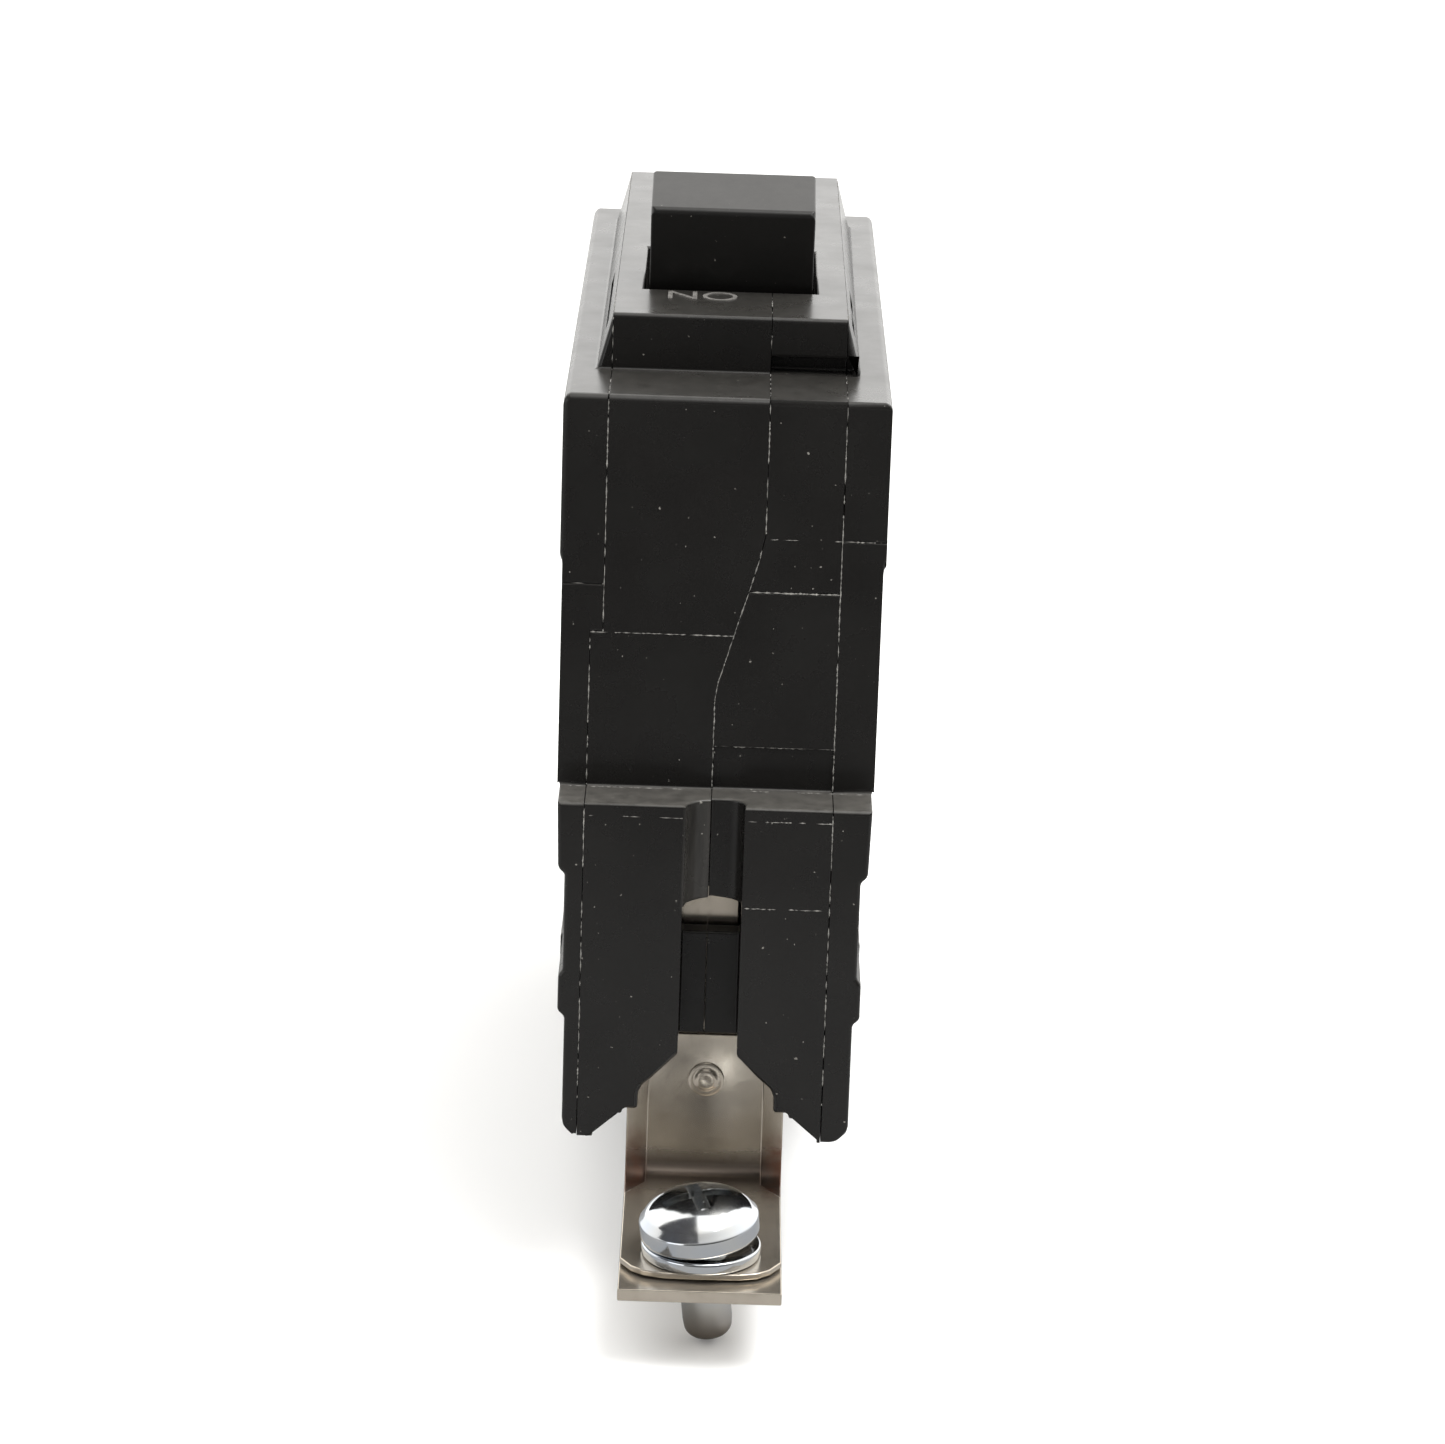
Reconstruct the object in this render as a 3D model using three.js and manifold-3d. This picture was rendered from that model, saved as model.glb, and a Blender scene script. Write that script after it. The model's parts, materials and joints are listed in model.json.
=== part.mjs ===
// Single-pole bolt-on ground-fault circuit breaker, millimetres, +Z towards the handle.
// X is the width, -Y is the line end with the bolt tab, z = 0 is the back of the case.
import * as THREE from "three";
import { mergeVertices } from "three/addons/utils/BufferGeometryUtils.js";
import Module from "manifold-3d";

const wasm = await Module();
wasm.setup();

// ---- case ----
const HALF = 12.7; // half of the one-inch pole pitch
const WAIST = 12.5; // half width of the side faces below the shoulder band
const BAND = { foot: 6.5, shoulder: 46 }; // full width below the first and above the second
const FOOT_HALF = 11.4; // half width of the recessed lower line-end corner
const SIDE_RECESS_END = -15.5; // the recessed side steps run back to here
const OUTSIDE = 14; // any x beyond the side faces
const TOP = 59.5; // shoulder plane
const FACE_Y = -39.5; // upper line-end face
const LEG_Y = -44; // front of the two legs
const LEDGE_Z = 27.9; // top of the legs
const SHOULDER_END = 33; // where the shoulder drops to the terminal shelf
const SHELF_TOP = 49; // upper edge of the slanted terminal shelf
const END_Y = 44; // load end face
const SHELF_LOW = 38; // lower edge of the slanted terminal shelf
const HOOK = { y: 39.5, low: 7.5, high: 12.1, chamfer: 1.5 }; // rail notch in the load end
const BLOCK = { y0: -30.8, y1: 27.6, top: 64, halfTop: 9.2, halfBase: 10.4 };
const UNDERCUT = { deep: 1.8, high: 1.3 }; // hollow under the front of the block, right of the middle seam
const SEAM_GAP = 0.02; // half gap left at each parting plane
const LEFT_SEAM = { upper: -9.2, lower: -10.2, step: 40.5 };
const RIGHT_SEAM = 9.22;
// Parting line between the two bodies, from the top down: [x, z].
const MID_SEAM = [[3.26, 70], [3.26, 48.8], [2.85, 46.8], [2.1, 44.1], [1.4, 41.8], [0.95, 40.2], [0.4, 38.3],
  [-0.1, 36.6], [-0.3, 35.2], [-0.3, -10]];
const FLOOR = 1.3; // wall between each mechanism room and the mid seam
const WALL = 1.8;
const ROOM_TOP = 57.6;
const ROOM_HALF = 11.3; // reach of both rooms into the covers
const SHALLOW = { y: -13.6, z: 23.8 }; // in front of and below this the covers stay solid
const HINGE_BAND = 49.8; // above this the left room reaches past the middle

// ---- line terminal ----
const STRAP = { back: -35.9, t: 1, half: 6.35, top: 27, neck: 19, right: 2.2, tongue: -2.2, low: -7.3,
  front: -59.4, inner: 1.5 };
const CLIP = { front: -37.5, t: 0.5, half: 4.7, wide: 6.3, top: 6.5, low: -6.1, tip: -57.75, inner: 1 };
const CLIP_RIVET = { z: 2.6, r: 0.9, head: 1.45, bore: 1.2 };
// The loose line screw leans in its hole: tiltX and tiltY are its slopes towards -X and -Y in degrees.
const SCREW = { x: -0.1, y: -53.5, tiltX: 6, tiltY: 5, turn: 15, head: 4.7, rim: 1.55, dome: 3.4, r: 1.95,
  length: 9.1, bore: 2.6, gap: 0.04 };
const WASHER = { low: -5.58, t: 1, r: 4.7, bore: 2.35 };
const POCKET = { half: 6.7, top: 7.1, back: -35 }; // around the strap, open to the bottom and front
const SLOT_HALF = 2.35; // gap between the legs
const RECESS = { front: -39, back: -37.2, top: 15.8 }; // wall between the legs that hides the strap
const LINTEL = { low: 19.5, peak: 0.3, step: -41.9 }; // set-back wall that joins the legs above the window

// ---- handle and contacts ----
const PIVOT = { y: -14, z: 53.2 };
const HANDLE = { left: -6.6, right: 6.5, r: 9, t: 7, reach: 19.25, lean: 16, trunnion: 2, lug: 12 };
const TRUNNION = { left: -11.3, right: 8.8, clear: 0.3 };
const HANDLE_SLOT = { x0: -7, x1: 6.85, y0: -21.5, y1: -5.1 };
const ARM = { x0: -6.4, x1: -4.2, pin: 1.1, eye: 1.45, y: -10.69, z: 41.66, tipY: -33.6, tipZ: 23.6 };
const CRADLE = { x0: -10.6, x1: -9, y: -25.5, z: 47, tipY: 4.6, tipZ: 34, pin: 1.4, eye: 1.75 };
const ARC_PLATES = [4.5, 7, 9.5];

// ---- load end ----
const SHELF_MID = { y: (SHOULDER_END + END_Y) / 2, z: (SHELF_TOP + SHELF_LOW) / 2 };
const TERM = { half: 3.1, wellHalf: 5, mouthHalf: 6.4, wellDeep: -16, plate: -11.5, plateT: 1, clamp: -10.2,
  clampT: 1.2, head: 3.5, headT: 2.6, r: 1.5, clear: 0.35, tip: -15.5, leftX: -5.4, rightX: 5.1 };
// Point of the terminal shelf's own frame: u runs down the slope and n stands square off it.
const onShelf = (u, n) => [SHELF_MID.y + (u + n) * Math.SQRT1_2, SHELF_MID.z + (n - u) * Math.SQRT1_2];
const WIRE = { y0: 30, half: 2.3, z0: 33.9, z1: 38.1 };
const RIVETS = [[-33, 53.4], [26.5, 53.2], [-6, 5.8], [35.5, 17]]; // y, z of the four case rivets
const RIVET = { r: 1.6, hole: 1.9, head: 2.75, sink: 3.1, seat: 11.6, out: 12.45, boss: 3.4 };

// ---- ground-fault side ----
const WIRE_PASS = 1.3; // radius of the holes the load conductor takes through the middle wall
const TOROID = { y: 8, z: 16, out: 7.2, hole: 3.4, sense: [2.9, 5.1], ground: [5.4, 7.3] };
const COIL = { x: 5.2, y: -4, z0: 27.6, z1: 36.6, r: 3.7, bore: 1.6 };
const PLUNGER = { r: 1.25, z0: 21.2, z1: 33, collar: 2.1, collarT: 1 };
const LEVER = { y: 1.5, z: 22, r: 1.1, hole: 1.6 };
const BUTTON = { x0: -0.1, x1: 6.5, y0: 4.4, y1: 12, top: 65.3, low: 60.7, well: 59.3, stemX: 4.4, stem: 0.8,
  stemLow: 55.1, springOut: 1.35, springTop: 61.5 };
const BOARD = { x0: 9.5, x1: 10.7 };
const PIGTAIL = { x: 5.1, z: 24.4, r: 1.9 };

const BASIS = {
  x: new THREE.Matrix4().makeBasis(
    new THREE.Vector3(0, 1, 0), new THREE.Vector3(0, 0, 1), new THREE.Vector3(1, 0, 0)),
  y: new THREE.Matrix4().makeBasis(
    new THREE.Vector3(1, 0, 0), new THREE.Vector3(0, 0, 1), new THREE.Vector3(0, -1, 0)),
  z: new THREE.Matrix4(),
};

// ---- helpers ----
function solid(geometry) {
  const flat = geometry.index ? geometry.toNonIndexed() : geometry;
  const bare = new THREE.BufferGeometry().setAttribute("position", flat.getAttribute("position"));
  const merged = mergeVertices(bare, 1e-4);
  return new wasm.Manifold(new wasm.Mesh({
    numProp: 3,
    vertProperties: merged.attributes.position.array,
    triVerts: new Uint32Array(merged.index.array),
  }));
}

// A closed outline pushed along one axis. Outlines are (y, z) for x, (x, z) for y and (x, y) for z.
function prism(axis, outline, from, to) {
  const shape = new THREE.Shape(outline.map(([a, b]) => new THREE.Vector2(a, b)));
  const geometry = new THREE.ExtrudeGeometry(shape, { depth: to - from, bevelEnabled: false });
  geometry.translate(0, 0, axis === "y" ? -to : from);
  return solid(geometry.applyMatrix4(BASIS[axis]));
}

function circle(a, b, r, sides = 24) {
  return Array.from({ length: sides }, (_, i) => {
    const t = (2 * Math.PI * (i + 0.5)) / sides;
    return [a + r * Math.cos(t), b + r * Math.sin(t)];
  });
}

// Points along an arc, angles in degrees.
function arc(a, b, r, from, to, steps) {
  return Array.from({ length: steps + 1 }, (_, i) => {
    const t = THREE.MathUtils.degToRad(from + ((to - from) * i) / steps);
    return [a + r * Math.cos(t), b + r * Math.sin(t)];
  });
}

const rod = (axis, a, b, r, from, to, sides) => prism(axis, circle(a, b, r, sides), from, to);

function box(x0, x1, y0, y1, z0, z1) {
  const geometry = new THREE.BoxGeometry(x1 - x0, y1 - y0, z1 - z0);
  return solid(geometry.translate((x0 + x1) / 2, (y0 + y1) / 2, (z0 + z1) / 2));
}

// A turned solid about the z axis; the profile is [radius, z] from the bottom up.
function turned(profile, sides = 28) {
  const points = profile.map(([r, z]) => new THREE.Vector2(r, z));
  return solid(new THREE.LatheGeometry(points, sides).rotateX(Math.PI / 2));
}

// Round wire along a smooth path of [x, y, z] points.
function wire(points, r, steps, sides = 8) {
  const path = new THREE.CatmullRomCurve3(points.map((p) => new THREE.Vector3(...p)));
  const shape = new THREE.Shape(circle(0, 0, r, sides).map(([a, b]) => new THREE.Vector2(a, b)));
  return solid(new THREE.ExtrudeGeometry(shape, { steps, extrudePath: path }));
}

// Outline of a bent strip: the polyline is one face, the strip lies on its left.
function strip(line, t) {
  const normal = (p, q) => {
    const d = Math.hypot(q[0] - p[0], q[1] - p[1]);
    return [-(q[1] - p[1]) / d, (q[0] - p[0]) / d];
  };
  const offset = line.map((p, i) => {
    const a = normal(line[Math.max(i - 1, 0)], line[Math.max(i, 1)]);
    const b = normal(line[Math.min(i, line.length - 2)], line[Math.min(i + 1, line.length - 1)]);
    const k = t / (1 + a[0] * b[0] + a[1] * b[1]);
    return [p[0] + (a[0] + b[0]) * k, p[1] + (a[1] + b[1]) * k];
  });
  return [...line, ...offset.reverse()];
}

// A line of [a, b] points with a scaled by s, so that s = -1 mirrors it.
const mirrored = (line, s) => line.map(([a, b]) => [s * a, b]);
const shifted = (line, da) => line.map(([a, b]) => [a + da, b]);
const join = (first, ...rest) => rest.reduce((a, b) => a.add(b), first);
const cut = (first, ...rest) => rest.reduce((a, b) => a.subtract(b), first);

function geometryOf(made) {
  const m = made.getMesh();
  const xyz = new Float32Array(m.numVert * 3);
  for (let i = 0; i < m.numVert; i++) {
    xyz.set(m.vertProperties.subarray(i * m.numProp, i * m.numProp + 3), i * 3);
  }
  const geometry = new THREE.BufferGeometry().setAttribute("position", new THREE.BufferAttribute(xyz, 3));
  const faceted = geometry.setIndex(new THREE.BufferAttribute(m.triVerts, 1)).toNonIndexed();
  faceted.computeVertexNormals();
  return faceted;
}

const FINISHES = {
  phenolic: [0x1d1c1b, 0.36, 0],
  black: [0x232221, 0.5, 0],
  steel: [0xb9bcc0, 0.3, 1],
  tin: [0xb5a896, 0.28, 1],
  copper: [0xb4694a, 0.35, 1],
  silver: [0xd5d5d2, 0.3, 1],
  brass: [0xb89a55, 0.35, 1],
  spring: [0x8f9296, 0.35, 1],
  board: [0x2f6b3c, 0.55, 0],
  ferrite: [0x3b3a38, 0.6, 0],
  winding: [0xa5532c, 0.4, 1],
  chip: [0x1b1b1d, 0.5, 0],
  mov: [0x2a5ca8, 0.5, 0],
  ceramic: [0xc9a46b, 0.5, 0],
  insulation: [0x1a1a1a, 0.5, 0],
  white: [0xe9e7df, 0.5, 0],
  red: [0xb8272a, 0.45, 0],
};

const model = new THREE.Group();
model.name = "gfci_breaker";

function part(name, made, finish, parent = model) {
  const [color, roughness, metalness] = FINISHES[finish];
  const material = new THREE.MeshStandardMaterial({ color, roughness, metalness });
  const mesh = new THREE.Mesh(geometryOf(made), material);
  mesh.name = name;
  parent.add(mesh);
  return mesh;
}

// ---- case: one outer form, shared by the two bodies and the two covers ----
function outerForm() {
  const side = [[FACE_Y, TOP], [FACE_Y, LEDGE_Z], [LEG_Y, LEDGE_Z], [LEG_Y, 0], [END_Y - HOOK.chamfer, 0],
    [END_Y, HOOK.chamfer], [END_Y, HOOK.low], [HOOK.y, HOOK.low], [HOOK.y, HOOK.high], [END_Y, HOOK.high],
    [END_Y, SHELF_LOW], [SHOULDER_END, SHELF_TOP], [SHOULDER_END, TOP]];
  const edge = [[HALF, 0], [HALF, BAND.foot], [WAIST, BAND.foot + 0.2], [WAIST, BAND.shoulder],
    [HALF, BAND.shoulder + 0.4], [HALF, TOP]];
  const front = [...mirrored(edge, -1).reverse(), ...edge];
  const slab = prism("x", side, -HALF, HALF).intersect(prism("y", front, LEG_Y - 1, END_Y + 1));
  const flank = [[BLOCK.halfBase, TOP - 1], [BLOCK.halfBase, TOP], [BLOCK.halfTop, BLOCK.top]];
  const block = prism("y", [...flank, ...mirrored(flank, -1).reverse()], BLOCK.y0, BLOCK.y1);
  return join(slab, block);
}

// Steps of the side faces of the lower line end, from the back of the case up: [x, z].
const SIDE_STEPS = [[10.5, -1], [10.5, 0], [FOOT_HALF, 0.9], [FOOT_HALF, 10], [11.95, 10.5], [11.95, 13.5],
  [11.6, 14], [11.6, 21.9], [12.15, 22.4], [12.3, LEDGE_Z]];
// Inner edge of each foot from the back up to the gap between the legs: [x, z].
const FOOT_EDGE = [[8.4, -1], [9, 0.2], [6.5, 2.4], [5.4, 2.4], [5.4, 3.7], [5.1, 4.4], [4.4, 5],
  [SLOT_HALF, POCKET.top]];

// Plan of the shallow hollow in front of the wall that joins the legs: a cove on the left, a step on the right.
const COVE = [[-SLOT_HALF, LEG_Y - 1], ...arc(MID_SEAM.at(-1)[0], LEG_Y - 0.2, 2, 175, 90, 5),
  [MID_SEAM.at(-1)[0], LINTEL.step], ...arc(1.1, LINTEL.step - 1.25, 1.25, 90, 5, 5), [SLOT_HALF, LEG_Y - 1]];

// Cuts that shape the outside of the line end.
function lineEndCuts() {
  const cuts = [];
  for (const s of [-1, 1]) {
    const recess = [...mirrored(SIDE_STEPS, s), [s * OUTSIDE, LEDGE_Z], [s * OUTSIDE, -1]];
    cuts.push(prism("y", recess, LEG_Y - 1, SIDE_RECESS_END));
    const foot = [...mirrored(FOOT_EDGE, s), [0, POCKET.top], [0, -1]];
    cuts.push(prism("y", foot, LEG_Y - 1, FACE_Y + 0.5));
  }
  const gap = [[-SLOT_HALF, 5], [SLOT_HALF, 5], [SLOT_HALF, LINTEL.low], [0, LINTEL.low + LINTEL.peak],
    [-SLOT_HALF, LINTEL.low]];
  const window = [[-SLOT_HALF, RECESS.top], [SLOT_HALF, RECESS.top], ...gap.slice(2)];
  cuts.push(prism("y", gap, LEG_Y - 1, RECESS.front));
  cuts.push(prism("z", COVE, LINTEL.low - 0.5, LEDGE_Z + 1));
  cuts.push(prism("y", window, RECESS.front - 1, -36));
  cuts.push(box(-POCKET.half, POCKET.half, FACE_Y, POCKET.back, -1, POCKET.top));
  cuts.push(box(-POCKET.half, 2.6, RECESS.back, POCKET.back, POCKET.top - 1, STRAP.neck + 0.5));
  return cuts;
}

// Openings cut through the top of the block and down into the rooms.
function topCuts() {
  const s = HANDLE_SLOT;
  return [
    rod("x", PIVOT.y, PIVOT.z, HANDLE.r + 0.4, s.x0, s.x1, 48),
    box(s.x0, s.x1, s.y0, s.y1, PIVOT.z, BLOCK.top + 1),
    box(BUTTON.x0 - 0.35, BUTTON.x1 + 0.35, BUTTON.y0 - 0.35, BUTTON.y1 + 0.35, BUTTON.well, BLOCK.top + 1),
    rod("z", BUTTON.stemX, (BUTTON.y0 + BUTTON.y1) / 2, BUTTON.stem + 0.3, 50, BUTTON.well + 1, 16),
  ];
}

// One terminal well: the screw well square to the shelf and the wire way in from the end face.
function terminalWell(x0, x1, wireX) {
  const w = TERM.wellHalf;
  const m = TERM.mouthHalf;
  const outline = [onShelf(-m, 1), onShelf(-m, -6.6), onShelf(-w, -8), onShelf(-w, TERM.wellDeep),
    onShelf(w, TERM.wellDeep), onShelf(w, -8), onShelf(m, -6.6), onShelf(m, 1)];
  return join(
    prism("x", outline, x0, x1),
    box(wireX - WIRE.half, wireX + WIRE.half, WIRE.y0, END_Y + 1, WIRE.z0, WIRE.z1),
  );
}

// Outline of the mechanism rooms in side view, the wall line inside the case.
const ROOM = [[-33.7, WALL], [-33.7, 7.5], [RECESS.back, 7.5], [RECESS.back, ROOM_TOP], [30.7, ROOM_TOP],
  [30.7, 46.6], [27, 42.9], [21.6, 36.4], [21.6, 34.8], [29.4, 27], [42.2, 27], [42.2, 13.6], [38.1, 13.6],
  [38.1, WALL]];

const coverRoom = (x0, x1) =>
  cut(prism("x", ROOM, x0, x1), box(-14, 14, LEG_Y, SHALLOW.y, 0, SHALLOW.z));

const bosses = (x0, x1) => RIVETS.map(([y, z]) => rod("x", y, z, RIVET.boss, x0, x1, 16));
const crossPass = (y, z, r) => rod("x", y, z, r, -3, 2, 16); // hole through the wall at the middle seam
const turnHole = (x0, x1) => rod("x", PIVOT.y, PIVOT.z, HANDLE.trunnion + TRUNNION.clear, x0, x1, 20);

// Bores for the four case rivets with a sunk seat for each head.
const rivetBores = () =>
  RIVETS.flatMap(([y, z]) => [
    rod("x", y, z, RIVET.hole, -14, 14, 16),
    rod("x", y, z, RIVET.sink, RIVET.seat, 14, 20),
    rod("x", y, z, RIVET.sink, -14, -RIVET.seat, 20),
  ]);

function caseShell() {
  return cut(outerForm(), ...lineEndCuts(), ...topCuts(), ...rivetBores());
}

const undercut = (x0, x1) =>
  box(x0, x1, BLOCK.y0 - 1, BLOCK.y0 + UNDERCUT.deep, TOP + 0.02, TOP + UNDERCUT.high);

// Zone of one moulding in the front view, over the full length.
const zone = (outline) => prism("y", outline, LEG_Y - 2, END_Y + 2);
const LEFT_LINE = [[LEFT_SEAM.upper, 70], [LEFT_SEAM.upper, LEFT_SEAM.step], [LEFT_SEAM.lower, LEFT_SEAM.step],
  [LEFT_SEAM.lower, -10]];

function coverLeft(shell) {
  const outline = [...shifted(LEFT_LINE, -SEAM_GAP), [-20, -10], [-20, 70]];
  const hollow = cut(coverRoom(-ROOM_HALF, -9), ...bosses(-12, -9), rod("x", PIVOT.y, PIVOT.z, 4, -12, -9),
    rod("x", CRADLE.y, CRADLE.z, CRADLE.pin, -12, -9));
  const blank = cut(shell.intersect(zone(outline)), hollow);
  const stub = rod("x", CRADLE.y, CRADLE.z, CRADLE.pin, -11.5, -8.5, 16);
  const bore = turnHole(TRUNNION.left - 0.4, -8);
  const line = box(-14, -9, FACE_Y - 1, FACE_Y + 0.12, 44.3, 44.5);
  const slit = box(-9.95, -9.7, -24.5, -6.5, TOP + 1.2, 66);
  return cut(join(blank, stub), bore, line, slit);
}

function bodyLeft(shell) {
  const outline = [...shifted(LEFT_LINE, SEAM_GAP), ...shifted(MID_SEAM, -SEAM_GAP).reverse()];
  const lower = prism("x", ROOM, -12, MID_SEAM.at(-1)[0] - FLOOR);
  const band = box(-14, 14, LEG_Y, END_Y, HINGE_BAND, ROOM_TOP + 1);
  const upper = prism("x", ROOM, -12, MID_SEAM[0][0] - FLOOR).intersect(band);
  const kept = join(...bosses(-12, 4), box(-12, 4, 24, 30, HINGE_BAND, ROOM_TOP),
    box(-12, 4, BUTTON.y0 - 2, BUTTON.y1 + 2, 56.2, ROOM_TOP));
  const room = cut(join(lower, upper), kept);
  const body = cut(shell.intersect(zone(outline)), room);
  const pass = [
    crossPass(TOROID.y - 1.3, TOROID.z, WIRE_PASS),
    crossPass(TOROID.y - 1.3, 6.2, WIRE_PASS),
    crossPass(LEVER.y, LEVER.z, LEVER.hole),
    terminalWell(-10.05, TERM.leftX + 3.7, TERM.leftX),
    terminalLead(TERM.leftX, 2.5, 0.35),
  ];
  return cut(body, ...pass);
}

function bodyRight(shell) {
  const outline = [...shifted(MID_SEAM, SEAM_GAP), [RIGHT_SEAM - SEAM_GAP, -10], [RIGHT_SEAM - SEAM_GAP, 70]];
  const lower = prism("x", ROOM, 1, 12).intersect(box(-14, 14, LEG_Y, END_Y, 0, 40));
  const upper = prism("x", ROOM, 4.6, 12);
  const drum = rod("x", PIVOT.y, PIVOT.z, HANDLE.r + 1.7, 3, 12, 40);
  const neck = box(0, POCKET.half, RECESS.back, POCKET.back + 1.3, POCKET.top - 2, STRAP.neck + 2);
  const room = cut(join(lower, upper), drum, neck, ...bosses(0, 12),
    box(0, 12, BUTTON.y0 - 2, BUTTON.y1 + 2, 56.2, ROOM_TOP));
  const body = cut(shell.intersect(zone(outline)), room);
  const shave = box(-1, 10, FACE_Y - 1, FACE_Y + 0.2, LEDGE_Z, 31.45);
  const sink = box(-3, 10, FACE_Y - 1, FACE_Y + 0.12, 44, 44.2);
  const pass = [
    crossPass(TOROID.y - 1.3, TOROID.z, WIRE_PASS),
    crossPass(TOROID.y - 1.3, 6.2, WIRE_PASS),
    crossPass(LEVER.y, LEVER.z, LEVER.hole),
    turnHole(6, TRUNNION.right + 0.2),
    rod("y", PIGTAIL.x, PIGTAIL.z, PIGTAIL.r, 40, 46, 20),
    terminalWell(TERM.rightX - 3.7, 12, TERM.rightX),
    terminalLead(TERM.rightX + 1.7, 1.9, 0.35),
    undercut(-2, RIGHT_SEAM + 1),
    box(BUTTON.stemX - 1.1, 4.7, 6.9, 9.5, 50, 56.3),
  ];
  return cut(body, shave, sink, ...pass);
}

function coverRight(shell) {
  const outline = [[RIGHT_SEAM + SEAM_GAP, -10], [20, -10], [20, 70], [RIGHT_SEAM + SEAM_GAP, 70]];
  const hollow = cut(coverRoom(9, ROOM_HALF), ...bosses(9, 12), rod("x", PIVOT.y, PIVOT.z, 4, 9, 12));
  const sink = box(9, 14, FACE_Y - 1, FACE_Y + 0.12, 48.3, 48.5);
  const slit = join(box(9.7, 9.95, -24.3, -19.2, TOP + 1.2, 66), box(9.7, 9.95, -17.5, -11, TOP + 1.2, 66));
  return cut(shell.intersect(zone(outline)), hollow, sink, slit, undercut(9, 9.9));
}

function buildCase() {
  const shell = caseShell();
  part("cover_left", coverLeft(shell), "phenolic");
  part("body_left", bodyLeft(shell), "phenolic");
  part("body_right", bodyRight(shell), "phenolic");
  part("cover_right", coverRight(shell), "phenolic");
  const { r, head, seat, out } = RIVET;
  const rivet = turned([[0, -out], [1.1, -out], [1.1, -out + 0.5], [head - 0.4, -out], [head, -out + 0.4],
    [head, -seat], [r, -seat], [r, seat], [head, seat], [head, out - 0.4], [head - 0.6, out], [0, out]], 20);
  RIVETS.forEach(([y, z], i) => {
    const mesh = part(`case_rivet_${i + 1}`, rivet, "steel");
    mesh.rotation.y = Math.PI / 2;
    mesh.position.set(0, y, z);
  });
}

// ---- line side ----
function lineStrap() {
  const bend = { y: STRAP.back - STRAP.t - STRAP.inner, z: STRAP.low + STRAP.t + STRAP.inner };
  const profile = [[STRAP.back, 6.4], ...arc(bend.y, bend.z, STRAP.inner + STRAP.t, 0, -90, 8),
    [STRAP.front, STRAP.low], [STRAP.front, STRAP.low + STRAP.t],
    ...arc(bend.y, bend.z, STRAP.inner, -90, 0, 8), [STRAP.back - STRAP.t, 6.4]];
  const upper = [[-STRAP.half, 6], [STRAP.right, 6], [STRAP.right, STRAP.neck], [STRAP.tongue, STRAP.neck],
    [STRAP.tongue, STRAP.top], [-STRAP.half, STRAP.top]];
  return cut(
    join(prism("x", profile, -STRAP.half, STRAP.half), prism("y", upper, STRAP.back - STRAP.t, STRAP.back)),
    rod("z", 0, SCREW.y, SCREW.bore, -9, -5),
    rod("y", 0, CLIP_RIVET.z, CLIP_RIVET.bore, -38, -35, 16),
  );
}

function lineClip() {
  const bend = { y: CLIP.front - CLIP.inner, z: CLIP.low + CLIP.t + CLIP.inner };
  const profile = [[CLIP.front + CLIP.t, CLIP.top], ...arc(bend.y, bend.z, CLIP.inner + CLIP.t, 0, -90, 6),
    [CLIP.tip, CLIP.low], [CLIP.tip, CLIP.low + CLIP.t], ...arc(bend.y, bend.z, CLIP.inner, -90, 0, 6),
    [CLIP.front, CLIP.top]];
  const side = [[CLIP.half, -36], [CLIP.half, -39.5], [CLIP.wide, -42], [CLIP.wide, CLIP.tip + 2.85],
    [5.4, CLIP.tip + 1.3], [4.4, CLIP.tip + 0.5], [3, CLIP.tip + 0.12]];
  const plan = [...mirrored(side, -1), [0, CLIP.tip], ...side.reverse()];
  return cut(
    prism("x", profile, -CLIP.wide, CLIP.wide).intersect(prism("z", plan, -10, 10)),
    rod("z", 0, SCREW.y, SCREW.bore, -9, -4),
    rod("y", 0, CLIP_RIVET.z, CLIP_RIVET.bore, -39, -36, 16),
  );
}

function lineScrew() {
  const { head: h, rim, dome, r, length } = SCREW;
  const tip = [[0, -length], [r * 0.5, -length + 0.15], [r * 0.85, -length + 0.9], [r, -length + 1.9]];
  const blank = turned([...tip, [r, 0], [h, 0], [h, rim], [h - 0.5, rim + 0.6], [h - 1.7, rim + 1.3],
    [h - 3.2, dome], [0, dome]], 32);
  const slot = box(-2.7, 2.7, -0.5, 0.5, dome - 1.2, dome + 1);
  const cross = box(-0.5, 0.5, -2.1, 2.1, dome - 1.5, dome + 1);
  return cut(blank, slot, cross);
}

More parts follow.
